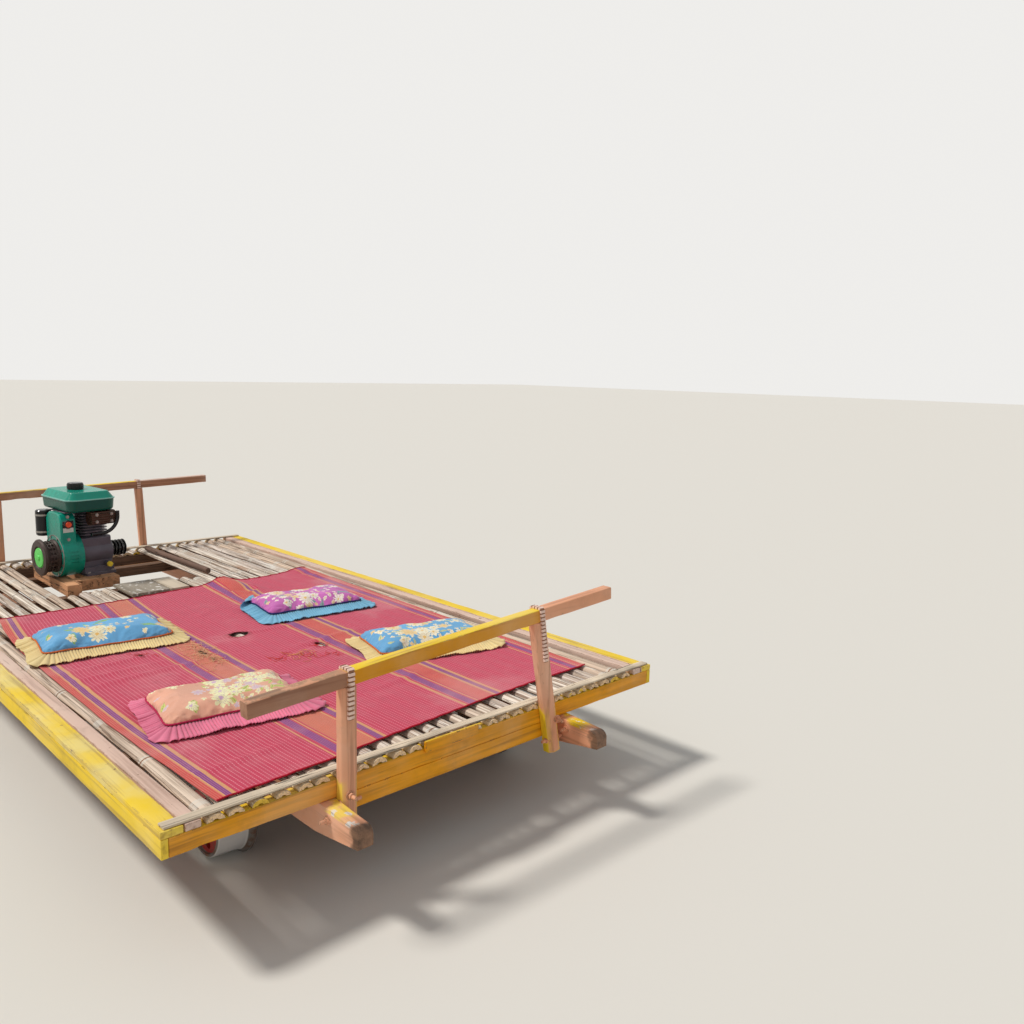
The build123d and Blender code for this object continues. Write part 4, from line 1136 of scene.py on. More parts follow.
class TRAIN_OT_engine(bpy.types.Operator):
    """Paint, plates, bolts and small parts of the engine"""
    bl_idname = "train.engine"
    bl_label = "Engine"

    def execute(self, context):
        s = context.scene.bamboo_train.engine
        t = context.scene.bamboo_train.timber
        dust = (0.05, 0.045, 0.032)
        tank = metal("tank_green", s.green, 0.30, 0.0, 0.22, dim(s.green, 3.2), dust, 0.9)
        z = tank.axes(tank.local(tuple(ENGINE_PLACE), (0, 0, ENGINE_TURN)))[2]
        # Painted highlight: a pale line along the tank's seam; painted shadow: a dark band just under it.
        seam = tank.near(z, TANK_SEAM, 0.0026)
        under = tank.band(z, TANK_SEAM, TANK_SEAM - 0.004)
        tank.paint(tank.mix(seam, tank.mix(under, tank.shade, dim(s.green, 0.32)), s.seam_highlight))
        recoat("fuel_tank", tank.material)
        recoat("blower_shroud", metal("shroud_green", s.green, 0.30, 0.0, 0.22, grime=dust).material)
        iron = metal("engine_iron", s.iron, 0.5, 0.3, 0.5, (0.30, 0.30, 0.32)).material
        for node in ("crankcase", "cylinder"):
            recoat(node, iron)
        rust = metal("muffler_rust", s.rust, 0.75, 0.2, 0.6, (0.20, 0.10, 0.05))
        rust.relief(rust.math("SINE", rust.axes()[2] * (2 * pi / 0.0105)), 0.004, 0.8)
        recoat("muffler", rust.material)
        black = metal("engine_black", s.black, 0.22, 0.0, 0.15, (0.2, 0.2, 0.2)).material
        for node in ("hose", "air_cleaner", "tank_cap"):
            recoat(node, black)
        brown = metal("starter_brown", s.brown, 0.5, 0.2, 0.4, (0.25, 0.22, 0.2)).material
        recoat("recoil_starter", brown)
        recoat("engine_cradle", bare_timber("cradle_wood", "X", t.cradle, 0.5))
        bright = metal("engine_bright", s.steel, 0.35, 0.7, 0.5).material
        leaf = metal("disc_green", s.leaf, 0.4, 0.0, 0.15).material
        pale = metal("plate_pale", s.plate, 0.5, 0.0, 0.5).material
        red = metal("button_red", s.button, 0.35, 0.0, 0.15).material
        yellow = metal("plug_yellow", s.plug, 0.5, 0.0, 0.3).material
        place = Matrix.Translation(ENGINE_PLACE) @ ENGINE_SPIN.to_4x4()
        for name, build, material, slot in (("engine_bright_parts", self.bright_parts, bright, "pulley_iron"),
                                            ("starter_hoops", self.cage, brown, "engine_black"),
                                            ("starter_disc", self.starter_disc, leaf, "engine_green"),
                                            ("hood_plate", self.hood_plate, pale, "engine_green"),
                                            ("button_seat", self.button_seat, black, "cap_plastic"),
                                            ("stop_button", self.stop_button, red, "cap_plastic"),
                                            ("oil_plug", self.oil_plug, yellow, "cap_plastic"),
                                            ("cap_knurls", self.knurls, black, "cap_plastic")):
            bm = bmesh.new()
            build(bm)
            bmesh.ops.transform(bm, matrix=place, verts=bm.verts)
            link(name, from_bmesh(bm, name), [material])
        self.bolts(bright)
        return {"FINISHED"}

    def bright_parts(self, bm):
        """Bands of the air cleaner, the drum's worn rim, and washers of the crankshaft."""
        x, y, low, high = CLEANER
        for z in (low + 0.018, high - 0.022):
            disc(bm, (x, y, z - 0.004), (x, y, z + 0.004), CLEANER_RADIUS + 0.0012, 40)
            block(bm, (x + CLEANER_RADIUS, y, z), (0.014, 0.010, 0.006))
        hoop(bm, (0, HOOD_LEFT, CRANK_HEIGHT), DRUM_RADIUS - 0.004, 0.0022, 72)

    def cage(self, bm):
        """Hoops round the bars of the starter."""
        for y in STARTER_HOOPS:
            hoop(bm, (0, y, CRANK_HEIGHT), STARTER_DRUM, 0.0016, 56)

    def starter_disc(self, bm):
        """Plain round disc in the middle of the starter, with a small boss."""
        for inner, outer, radius, sides, taper in ((0.006, 0.0005, STARTER_DISC, 48, 0.93),
                                                   (0.001, -0.003, 0.012, 24, 0.8)):
            ends = [(0, STARTER_FACE + y, CRANK_HEIGHT) for y in (inner, outer)]
            disc(bm, *ends, radius, sides, taper)

    def hood_plate(self, bm):
        """Bare pale plate on the front of the hood, below the button's dark seat."""
        block(bm, (HOOD_FRONT + 0.0006, HOOD_MIDDLE, 0.217), (0.0016, 0.044, 0.020))

    def button_seat(self, bm):
        """Dark seat of the stop button."""
        block(bm, (HOOD_FRONT + 0.0010, HOOD_MIDDLE, 0.242), (0.0024, 0.046, 0.030))
        disc(bm, (HOOD_FRONT, HOOD_MIDDLE, 0.242), (HOOD_FRONT + 0.006, HOOD_MIDDLE, 0.242), 0.019, 32, 0.92)

    def stop_button(self, bm):
        """Round button on its dark seat."""
        disc(bm, (HOOD_FRONT, HOOD_MIDDLE, 0.242), (HOOD_FRONT + 0.011, HOOD_MIDDLE, 0.242), 0.0145, 32, 0.82)

    def oil_plug(self, bm):
        """Ribbed plug in the crankcase's filler."""
        x, y, z = FILLER
        disc(bm, (x, y, z), (x + 0.010, y, z), 0.0125, 20, 0.9)
        block(bm, (x + 0.012, y, z), (0.006, 0.018, 0.005))

    def knurls(self, bm):
        """Ribs round the tank's cap."""
        low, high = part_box("tank_cap")
        centre = ENGINE_SPIN.inverted() @ ((low + high) / 2 - ENGINE_PLACE)
        for number in range(CAP_RIBS):
            spin = Matrix.Rotation(2 * pi * number / CAP_RIBS, 4, "Z")
            out = spin @ Vector((CAP_RADIUS, 0, 0))
            block(bm, (centre.x + out.x, centre.y + out.y, centre.z - 0.002), (0.003, 0.004, 0.020), spin)

    def bolts(self, material):
        """Hexagon bolts of the covers, the foot and the fan's housing."""
        rows = []
        for count, radius, y, facing in ((6, 0.047, COVER_FACE, 1), (8, 0.086, HOOD_LEFT + 0.002, -1)):
            for number in range(count):
                angle = 2 * pi * (number + 0.5) / count
                rows.append(((radius * cos(angle), y, CRANK_HEIGHT + radius * sin(angle)), (0, facing, 0)))
        for x in (-0.080, 0.080):
            rows += [((x, y, 0.012), (0, 0, 1)) for y in (-0.014, 0.092)]
        rows += [((HOOD_FRONT, HOOD_MIDDLE, z), (1, 0, 0)) for z in (0.175, 0.276)]
        rows += [((0.116, y, z), (1, 0, 0)) for y in (0.016, 0.082) for z in (0.246, 0.278)]
        placed = [(ENGINE_PLACE + ENGINE_SPIN @ Vector(place), ENGINE_SPIN @ Vector(facing))
                  for place, facing in rows]
        stud_tree().grow("engine_bolts", point_mesh("engine_bolts", placed), material, "pulley_iron",
                         Radius=0.0058, Height=0.005, Washer=0.0075, Sides=6)


def course(points, share):
    """Place on a smooth line through some points, at a share of its length."""
    points = [Vector(point) for point in points]
    runs = [(b - a).length for a, b in zip(points, points[1:])]
    rest = share * sum(runs)
    index = 0
    while index < len(runs) - 1 and rest > runs[index]:
        rest -= runs[index]
        index += 1
    t = min(1.0, rest / runs[index])
    a, b = points[index], points[index + 1]
    before = points[index - 1] if index else a * 2 - b
    after = points[index + 2] if index + 2 < len(points) else b * 2 - a
    return 0.5 * (2 * a + (b - before) * t + (2 * before - 5 * a + 4 * b - after) * t ** 2
                  + (3 * a - before - 3 * b + after) * t ** 3)


def bell(offset):
    """1 in the middle, fading to nothing on both sides of it."""
    return 2.718 ** -(offset ** 2)


def off_line(point, start, end):
    """Distance of a point from a line between two points, and how far along it the point lies."""
    run = end - start
    share = max(0.0, min(1.0, (point - start).dot(run) / run.length_squared))
    return (point - start - run * share).length, share


def tube(bm, path, radius, sides, material):
    """Round cord along a closed path of points."""
    rings = []
    for i, point in enumerate(path):
        ahead = path[(i + 1) % len(path)] - path[i - 1]
        across = ahead.cross(Vector((0, 0, 1))).normalized()
        up = across.cross(ahead).normalized()
        rings.append([bm.verts.new(point + radius * (across * c + up * s)) for c, s in circle(sides)])
    skin(bm, rings, material)


def thread_tree():
    """Tree that turns lines into thin round threads."""
    tree = Tree("Threads", ("Radius", "Float", 0.0007), ("Sides", "Int", 4), ("Material", "Material", None))
    given = tree.given
    curve = tree.value("GeometryNodeMeshToCurve", {0: given["Geometry"]})
    smooth = tree.value("GeometryNodeCurveSplineType", {"Curve": curve}, spline_type="CATMULL_ROM")
    fine = tree.value("GeometryNodeResampleCurve", {"Curve": smooth, "Length": 0.004}, mode="LENGTH")
    round_section = {"Resolution": given["Sides"], "Radius": given["Radius"]}
    section = tree.value("GeometryNodeCurvePrimitiveCircle", round_section)
    swept = tree.value("GeometryNodeCurveToMesh", {"Curve": fine, "Profile Curve": section, "Fill Caps": True})
    return tree.end(tree.value("GeometryNodeSetShadeSmooth", {"Geometry": swept}))


def cloth_thread(name, shade):
    """Plain spun thread."""
    finish = Finish(name, roughness=0.9)
    finish.paint(finish.mix(finish.spots(0.4, 0.65, 300.0, 2.0), dim(shade, 0.7), dim(shade, 1.2)))
    return finish.material


class TRAIN_OT_mat(bpy.types.Operator):
    """Weave and lay the striped mat, with its holes, hems and loose threads"""
    bl_idname = "train.mat"
    bl_label = "Mat"

    def execute(self, context):
        s = context.scene.bamboo_train.mat
        culms = [span(points) for points in solids_of("culms_front")]
        self.first = (culms[0][0].y + culms[0][1].y) / 2
        self.pitch = ((culms[-1][0].y + culms[-1][1].y) / 2 - self.first) / (len(culms) - 1)
        self.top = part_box("mat")[1].z
        mesh, rims = self.cloth(s)
        cloth = link("mat_cloth", mesh, [self.weave(s)])
        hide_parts("mat")
        threads = thread_tree()
        hem = cloth_thread("hem_thread", s.hem)
        pieces = [threads.grow("mat_hem", line_mesh("hems", rims), hem, "mat_cloth", Radius=0.0026, Sides=8)]
        for shade in sorted({row[3] for row in FRAYS}):
            lines = self.loose_threads([row for row in FRAYS if row[3] == shade])
            pieces.append(threads.grow("mat_threads_" + shade, line_mesh("threads", lines),
                                       cloth_thread("loose_" + shade, getattr(s, shade)), "mat_cloth"))
        return {"FINISHED"}

    def lie(self, place):
        """Height of the cloth's top over a place on the deck."""
        sag = 0.0008 * (1 - cos(2 * pi * (place.y - self.first) / self.pitch))
        roll = 0.0010 * noise.noise(Vector((place.x * 5, place.y * 4, 3.0)))
        ripple = 0.0004 * noise.noise(Vector((place.x * 40, place.y * 14, 9.0)))
        lift = 0.0
        for start, end, height, half in RIDGES:
            away, share = off_line(place, Vector(start), Vector(end))
            fade = 1 - abs(2 * share - 1) ** 3 if away < half else 1
            lift += height * bell(away / half) * fade
        return self.top - sag + roll + ripple + lift

    def cloth(self, s):
        """Cloth laid over the culms between its four edges, and the lines of its two hems."""
        count_x, count_y = (round(reach / s.step) for reach in MESH_SPAN)
        left, right, rear, front = (MAT_EDGES[key] for key in ("left", "right", "rear", "front"))
        sides = [(course(left, i / count_x), course(right, i / count_x)) for i in range(count_x + 1)]
        ends = [(course(rear, j / count_y), course(front, j / count_y)) for j in range(count_y + 1)]
        bm = bmesh.new()
        uv = bm.loops.layers.uv.new("cloth")
        rows, shares = [], {}
        for i, (at_left, at_right) in enumerate(sides):
            t, row = i / count_x, []
            for j, (at_rear, at_front) in enumerate(ends):
                u = j / count_y
                corners = ((sides[0][0] * (1 - u) + sides[0][1] * u) * (1 - t)
                           + (sides[-1][0] * (1 - u) + sides[-1][1] * u) * t)
                place = at_left * (1 - u) + at_right * u + at_rear * (1 - t) + at_front * t - corners
                stray = noise.noise(Vector((place.x * 9, place.y * 9, 1.0)))
                border = min(i, count_x - i, j, count_y - j) == 0
                place += Vector((stray, -stray)) * (0.003 if border else 0.0)
                vertex = bm.verts.new((place.x, place.y, self.lie(place)))
                shares[vertex] = (u, t)
                row.append(vertex)
            rows.append(row)
        for low, high in zip(rows, rows[1:]):
            for j in range(count_y):
                face = bm.faces.new((low[j], high[j], high[j + 1], low[j + 1]))
                for loop in face.loops:
                    loop[uv].uv = shares[loop.vert]
        rims = [[vertex.co + Vector((0, 0, 0.0006)) for vertex in row[::3]] for row in (rows[0], rows[-1])]
        self.tear(bm)
        base = bm.faces[:]
        bmesh.ops.delete(bm, geom=[v for v in bm.verts if not v.link_faces], context="VERTS")
        base_verts = bm.verts[:]
        under = bmesh.ops.duplicate(bm, geom=base)
        copies = {old: new for old, new in under["vert_map"].items() if isinstance(old, bmesh.types.BMVert)}
        lower = [item for item in under["geom"] if isinstance(item, bmesh.types.BMFace)]
        shares.update({new: shares[old] for old, new in copies.items() if old in shares})
        for edge in {e for face in base for e in face.edges if len(e.link_faces) == 1}:
            a, b = edge.verts
            if edge.link_loops[0].vert == a:
                a, b = b, a
            face = bm.faces.new((a, b, copies[b], copies[a]))
            for loop in face.loops:
                loop[uv].uv = shares[loop.vert]
        for old in base_verts:
            copies[old].co.z = old.co.z - s.thickness
        bmesh.ops.reverse_faces(bm, faces=lower)
        mesh = bpy.data.meshes.new("mat_cloth")
        bm.to_mesh(mesh)
        bm.free()
        mesh.shade_smooth()
        mesh.set_sharp_from_angle(angle=radians(50))
        return mesh, rims

    def tear(self, bm):
        """Cut the worn holes and draw the cloth's points onto their ragged rims."""
        for x, y, half_x, half_y in HOLES:
            def reach(vertex):
                dx, dy = (vertex.co.x - x) / half_x, (vertex.co.y - y) / half_y
                angle = atan2(dy, dx)
                ragged = 1 + 0.22 * noise.noise(Vector((cos(angle) * 3, sin(angle) * 3, x * 9)))
                return hypot(dx, dy) / ragged, ragged, angle

            gone = [face for face in bm.faces if all(reach(v)[0] < 1.05 for v in face.verts)]
            bmesh.ops.delete(bm, geom=gone, context="FACES")
            for vertex in bm.verts:
                share, ragged, angle = reach(vertex)
                if share < 1.6 and any(len(edge.link_faces) == 1 for edge in vertex.link_edges):
                    vertex.co.x = x + cos(angle) * half_x * ragged
                    vertex.co.y = y + sin(angle) * half_y * ragged
                    vertex.co.z += 0.0012

    def loose_threads(self, rows):
        """Short crooked threads that lie on the cloth."""
        draw = random.Random(5)
        lines = []
        for start, end, count, _, size in rows:
            for _ in range(count):
                place = Vector(start).lerp(Vector(end), draw.random())
                place += Vector((draw.gauss(0, 0.006), draw.gauss(0, 0.012)))
                heading = draw.uniform(0, 2 * pi)
                points = []
                for step in range(draw.randint(4, 8)):
                    lift = 0.0012 + 0.004 * draw.random() * (step > 0)
                    points.append((place.x, place.y, self.lie(place) + lift))
                    heading += draw.gauss(0, 0.9)
                    place = place + Vector((cos(heading), sin(heading))) * size * draw.uniform(0.1, 0.28)
                lines.append(points)
        return lines

    def weave(self, s):
        """Striped weave: stripes across the width, fine dashed lines along it, and the ribs of the cloth."""
        finish = Finish("mat_weave", roughness=0.92)
        finish.surface.inputs["Sheen Weight"].default_value = 0.25
        uv = finish.value("ShaderNodeUVMap", uv_map="cloth")
        u, t, _ = finish.axes(uv)
        sway = (finish.noise(3.0, 3.0) - 0.5) * 0.004
        u = u + sway
        long, width = WEAVE
        across = u * (width / s.pitch)
        along = t * (long / s.dash)
        line = finish.near(finish.math("FRACT", across), 0.5, 0.13, 0.5)
        dash = finish.near(finish.math("FRACT", along), 0.5, 0.34, 0.35)
        ground = finish.mix(line * dash * 0.85, s.crimson, s.pale)
        halves = [self.stripes(finish, u, s, [row for row in STRIPES if (row[0] < 0.5) == left], left)
                  for left in (True, False)]
        right = finish.band(u, 0.4999, 0.5001)
        stripe = finish.mix(right, *[half[0] for half in halves])
        share = halves[0][1] * (1.0 - right) + halves[1][1] * right
        fine = finish.near(finish.math("FRACT", across * 2.0), 0.5, 0.16, 0.5)
        zigzag = fine * finish.near(finish.math("FRACT", along * 2.0), 0.5, 0.3)
        stripe = finish.mix(zigzag * 0.6, stripe, (0.82, 0.50, 0.36))
        cloth = finish.mix(share, ground, stripe)
        ribs = finish.math("SINE", t * (2 * pi * long / RIB_PITCH))
        # Painted shade: darker in the grooves between the cloth's ribs.
        cloth = finish.mix(finish.band(ribs, 0.2, -1.1), cloth, (0.58, 0.50, 0.52), "MULTIPLY")
        faded = finish.noise(2.6, 6.0, rough=0.6)
        cloth = finish.mix(finish.band(faded, 0.50, 0.72) * 0.30, cloth, (0.80, 0.42, 0.42))
        soiled = finish.noise(6.0, 8.0, rough=0.7)
        cloth = finish.mix(finish.band(soiled, 0.55, 0.80) * 0.45, cloth, (0.30, 0.05, 0.07))
        cloth = finish.mix(self.scorch(finish) * 0.85, cloth, (0.40, 0.03, 0.05))
        # Painted shade: faces that point down, the underside of the cloth, are painted darker.
        below = finish.band(finish.facing("Z"), 0.1, -0.3)
        finish.paint(finish.mix(below, cloth, dim(s.crimson, 0.45)))
        finish.relief(ribs, 0.0005, 0.5)
        finish.relief(line * dash, 0.0006, 0.6)
        finish.relief(finish.noise(1.0, 4.0, finish.at((26.0, 9.0, 9.0))), 0.0035, 0.5)
        return finish.material

    def stripes(self, finish, u, s, rows, left):
        """Colour across one half of the width, and 1 where a stripe covers the ground."""
        stops, cover = [], []
        edge = 0.0 if left else 0.5
        rows = sorted(rows)
        blank = (0.0, 0.0, 0.0)
        if rows[0][0] - rows[0][1] > edge + 1e-4:
            stops.append((edge, s.crimson))
            cover.append((edge, blank))
        for number, (middle, half, key) in enumerate(rows):
            stops.append((max(edge, middle - half), getattr(s, key)))
            cover.append((max(edge, middle - half), (1.0, 1.0, 1.0)))
            after = rows[number + 1][0] - rows[number + 1][1] if number + 1 < len(rows) else 2.0
            if after > middle + half + 5e-4 and middle + half < 0.999:
                stops.append((middle + half, s.crimson))
                cover.append((middle + half, blank))
        outputs = []
        for table in (stops, cover):
            made = finish.node("ShaderNodeValToRGB", {"Fac": u})
            made.color_ramp.interpolation = "CONSTANT"
            elements = made.color_ramp.elements
            while len(elements) < len(table):
                elements.new(1.0)
            for element, (position, _) in zip(elements, table):
                element.position = position
            for element, (_, shade) in zip(elements, table):
                element.color = (*shade, 1.0)
            outputs.append(Value(finish, made.outputs[0]))
        return outputs[0], finish.axes(outputs[1])[0]

    def scorch(self, finish):
        """Darker torn cloth around each hole."""
        x, y, _ = finish.axes()
        total = 0.0
        for hole_x, hole_y, half_x, half_y in HOLES:
            dx = (x - hole_x) / half_x
            dy = (y - hole_y) / half_y
            away = finish.math("SQRT", dx * dx + dy * dy)
            total = total + finish.band(away, 1.7, 1.05)
        ragged = finish.spots(0.40, 0.55, 60.0, 5.0)
        return finish.math("MINIMUM", total, 1.0) * ragged


class TRAIN_OT_cushions(bpy.types.Operator):
    """Fill the four cushions, gather their ruffles and print their flowers"""
    bl_idname = "train.cushions"
    bl_label = "Cushions"

    def execute(self, context):
        s = context.scene.bamboo_train.cushions
        for number, (node, turn, body, ruffle, cord) in enumerate(CUSHIONS):
            low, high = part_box(node)
            centre = Vector(((low.x + high.x) / 2, (low.y + high.y) / 2, low.z))
            spin = Matrix.Rotation(radians(turn), 4, "Z")
            points = [spin.inverted() @ (vertex.co - centre) for vertex in nodes[node].data.vertices
                      if vertex.co.z > low.z + 0.02]
            half_x, half_y = max(p.x for p in points), max(p.y for p in points)
            height = high.z - low.z
            outline = [p - Vector((s.shift, 0, 0)) for p in self.outline(half_x, half_y)]
            filled = self.fill(s, outline, half_x, half_y, height, number)
            bm = bmesh.new()
            bm.from_mesh(filled)
            bm.verts.layers.float.new("crease")
            self.ruffle(bm, s, outline, number, node)
            # Cord along the seam: piping on the blue cushions, a dark line of painted shadow on the magenta and
            # peach ones.
            path = [Vector((p.x * 1.004, p.y * 1.004, s.seam + 0.001 + self.lift(s, p, number)))
                    for p in outline[::4]]
            tube(bm, path, 0.0026, 8, 2)
            bmesh.ops.transform(bm, matrix=Matrix.Translation(centre) @ spin, verts=bm.verts)
            mesh = bpy.data.meshes.new(node + "_soft")
            bmesh.ops.recalc_face_normals(bm, faces=bm.faces)
            bm.to_mesh(mesh)
            bm.free()
            mesh.shade_smooth()
            printed = self.cloth(node + "_print", getattr(s, body), centre, turn, half_x, half_y, PRINTS[node])
            plain = self.cloth(node + "_ruffle", getattr(s, ruffle), centre, turn)
            trim = cloth_thread(node + "_cord", getattr(s, cord))
            made = link(node + "_filled", mesh, [printed, plain, trim])
            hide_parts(node)
        return {"FINISHED"}

    def outline(self, half_x, half_y):
        """Seam of a cushion: a rectangle with soft corners whose sides pull in, in even steps."""
        dense = []
        for step in range(OUTLINE_POINTS):
            angle = 2 * pi * step / OUTLINE_POINTS
            x = half_x * abs(cos(angle)) ** 0.22 * (1 if cos(angle) > 0 else -1)
            y = half_y * abs(sin(angle)) ** 0.22 * (1 if sin(angle) > 0 else -1)
            stray = 1 + 0.010 * noise.noise(Vector((x * 13, y * 13, half_x * 70)))
            dense.append(Vector((x * stray * (1 - 0.07 * (1 - (y / half_y) ** 2)),
                                 y * stray * (1 - 0.04 * (1 - (x / half_x) ** 2)), 0)))
        runs = [(b - a).length for a, b in zip(dense, dense[1:] + dense[:1])]
        total = sum(runs)
        count = 4 * round(total / OUTLINE_STEP)
        even, index, passed = [], 0, 0.0
        for step in range(count):
            goal = total * step / count
            while passed + runs[index] < goal:
                passed += runs[index]
                index += 1
            even.append(dense[index].lerp(dense[(index + 1) % OUTLINE_POINTS], (goal - passed) / runs[index]))
        return even

    def lift(self, s, place, number):
        """Rise of the seam over its usual height at a place along it."""
        return s.wave * noise.noise(Vector((place.x * 11, place.y * 11, number * 4.0)))

    def fill(self, s, outline, half_x, half_y, height, number):
        """Body of a cushion: a thin slab blown up as cloth, flat where it lies on the mat."""
        bm = bmesh.new()
        rise = s.slab - s.seam
        levels = ((0.80, 0.0, 0.0), (0.93, s.seam * 0.45, 0.5), (1.0, s.seam, 1.0),
                  (0.985, s.seam + 0.40 * rise, 1.0), (0.935, s.seam + 0.74 * rise, 0.6),
                  (0.83, s.slab - 0.001, 0.3), (0.60, s.slab, 0.0))
        rings = [[bm.verts.new((p.x * grow, p.y * grow, z + share * self.lift(s, p, number)))
                  for p in outline[::4]] for grow, z, share in levels]
        count = len(rings[0])
        for low, high in zip(rings, rings[1:]):
            for i in range(count):
                bm.faces.new((low[i], low[(i + 1) % count], high[(i + 1) % count], high[i]))
        bm.faces.new(rings[0][::-1])
        bm.faces.new(rings[-1])
        mesh = bpy.data.meshes.new("slab")
        bm.to_mesh(mesh)
        bm.free()
        made = bpy.data.objects.new("slab", mesh)
        bpy.context.scene.collection.objects.link(made)
        voxels = made.modifiers.new("voxels", "REMESH")
        voxels.mode = "VOXEL"
        voxels.voxel_size = VOXEL
        made_mesh = evaluated(made)
        made.modifiers.clear()
        made.data = made_mesh
        start = [v.co.copy() for v in made_mesh.vertices]
        goal = self.blow(made, s)
        for vertex, old, new in zip(made_mesh.vertices, start, goal):
            move = new - old
            if move.length > 1e-6:
                move.length = s.swell * tanh(move.length / s.swell)
            place = old + move
            place.z = min(max(place.z, 0.0), height + s.proud)
            vertex.co = place
        smooth = made.modifiers.new("smooth", "SUBSURF")
        smooth.levels = smooth.render_levels = 1
        final = evaluated(made)
        bpy.data.objects.remove(made)
        self.pucker(final, s, half_x, half_y, number)
        return final

    def dome(self, co, half_x, half_y):
        """Share of the full height over a place on the cushion."""
        return max(0.0, 1 - abs(co.x / half_x) ** 3) ** 0.6 * max(0.0, 1 - abs(co.y / half_y) ** 4) ** 0.6

    def blow(self, made, s):
        """Places of the cushion's points once the filling has swollen."""
        scene = bpy.context.scene
        seam = made.vertex_groups.new(name="seam")
        held = [v.index for v in made.data.vertices if v.co.z < s.seam + 0.003]
        seam.add(held, 1.0, "REPLACE")
        cloth = made.modifiers.new("filling", "CLOTH")
        cloth.settings.use_pressure = True
        cloth.settings.uniform_pressure_force = s.pressure
        cloth.settings.effector_weights.gravity = 0.0
        cloth.settings.vertex_group_mass = "seam"
        cloth.settings.tension_stiffness = 12.0
        cloth.settings.bending_stiffness = 0.4
        cloth.settings.shrink_min = -0.03
        cloth.settings.quality = 5
        cloth.point_cache.frame_start = 1
        cloth.point_cache.frame_end = SWELL_FRAMES
        for number in range(1, SWELL_FRAMES + 1):
            scene.frame_set(number)
        graph = bpy.context.evaluated_depsgraph_get()
        blown = made.evaluated_get(graph).to_mesh()
        places = [v.co.copy() for v in blown.vertices]
        made.evaluated_get(graph).to_mesh_clear()
        made.modifiers.clear()
        scene.frame_set(1)
        return places

    def pucker(self, mesh, s, half_x, half_y, number):
        """Small gathers where the cloth meets the seam, and slack waves over the top."""
        normals = [vertex.normal.copy() for vertex in mesh.vertices]
        for vertex, normal in zip(mesh.vertices, normals):
            co = vertex.co
            if co.z < s.seam * 0.6:
                continue
            edge_x, edge_y = half_x - abs(co.x), half_y - abs(co.y)
            inside = min(edge_x, edge_y)
            track = co.y if edge_x < edge_y else co.x
            gather = sin(2 * pi * track / GATHER_PITCH + 3 * noise.noise(Vector((track * 20, number, 0))))
            near = bell(max(0.0, inside) / GATHER_REACH)
            slack = noise.noise(Vector((co.x * 16, co.y * 11, number * 7.0))) * (1 - near)
            vertex.co = co + normal * (0.0013 * gather * near + 0.0034 * slack)

    def ruffle(self, bm, s, outline, number, node):
        """Gathered ruffle round the seam, its pleats opening towards the free edge."""
        count, rows = len(outline), 8
        length_so_far, grid = 0.0, []
        crease = bm.verts.layers.float["crease"]
        for i, point in enumerate(outline):
            tangent = (outline[(i + 1) % count] - outline[i - 1]).normalized()
            out = Vector((tangent.y, -tangent.x, 0))
            if out.dot(point) < 0:
                out.negate()
            length_so_far += (point - outline[i - 1]).length if i else 0.0
            jitter = 3.4 * noise.noise(Vector((point.x * 26, point.y * 26, number * 3.0)))
            phase = 2 * pi * length_so_far / s.pleat + jitter
            corner = (2 * out.x * out.y) ** 2
            reach = s.ruffle * (1 + 0.14 * noise.noise(Vector((point.x * 9, point.y * 9, number + 0.5)))
                                + 0.045 * cos(phase) + 0.30 * corner)
            seam = s.seam - 0.004 + self.lift(s, point, number)
            deep = 0.75 + 0.9 * noise.noise(Vector((point.x * 37, point.y * 37, number + 6.0)))
            raised = 0.012 * max(0.0, noise.noise(Vector((point.x * 8, point.y * 8, number + 9.0))))
            column = []
            for row in range(rows + 1):
                share = row / rows
                spread = (0.0016 + 0.0046 * share ** 0.8) * deep
                fold = 0.5 + 0.5 * cos(phase)
                place = point * 0.985 + out * ((reach + s.shift * out.x) * share)
                place += tangent * (spread * 0.6 * sin(phase))
                place.z = seam * (1 - share) ** 1.3 + 0.0014 + 1.5 * spread * fold + raised * share
                vertex = bm.verts.new(self.curl(place, outline, node))
                # Painted shade: dark in the pleats' valleys and along the ruffle next to the seam, as a shadow
                # gap.
                vertex[crease] = min(1.0, deep * (1 - fold) ** 2 + 0.7 * (1 - share) ** 4)
                column.append(vertex)
            grid.append(column)
        for a, b in zip(grid, grid[1:] + grid[:1]):
            for row in range(rows):
                bm.faces.new((a[row], a[row + 1], b[row + 1], b[row])).material_index = 1
        self.thicken(bm, grid, rows, 0.0011)

    def curl(self, place, outline, node):
        """Roll the ruffle up at the one corner that has flipped over."""
        if node != CURLED:
            return place
        corner = Vector((min(p.x for p in outline), min(p.y for p in outline), 0))
        away = Vector((-1, -1, 0)).normalized()
        past = (place - corner).dot(away) + CURL_START
        if past <= 0:
            return place
        angle = min(past / CURL_RADIUS, CURL_ROLL)
        rest = past - angle * CURL_RADIUS
        moved = place - away * past + away * (CURL_RADIUS * sin(angle) + rest * cos(angle))
        moved.z += CURL_RADIUS * (1 - cos(angle)) + rest * sin(angle)
        moved.z = max(moved.z, 0.002)
        return moved

    def thicken(self, bm, grid, rows, thickness):
        """Give the ruffle an underside and close it along both edges."""
        count = len(grid)
        lower = []
        for column in grid:
            lower.append([])
            for vertex in column:
                under = bm.verts.new(vertex.co, vertex)
                under.co = vertex.co - Vector((0, 0, thickness))
                lower[-1].append(under)
        for i in range(count):
            a, b = lower[i], lower[(i + 1) % count]
            faces = [bm.faces.new((a[row], b[row], b[row + 1], a[row + 1])) for row in range(rows)]
            for row in (0, rows):
                faces.append(bm.faces.new((grid[i][row], grid[(i + 1) % count][row], b[row], a[row])))
            for face in faces:
                face.material_index = 1

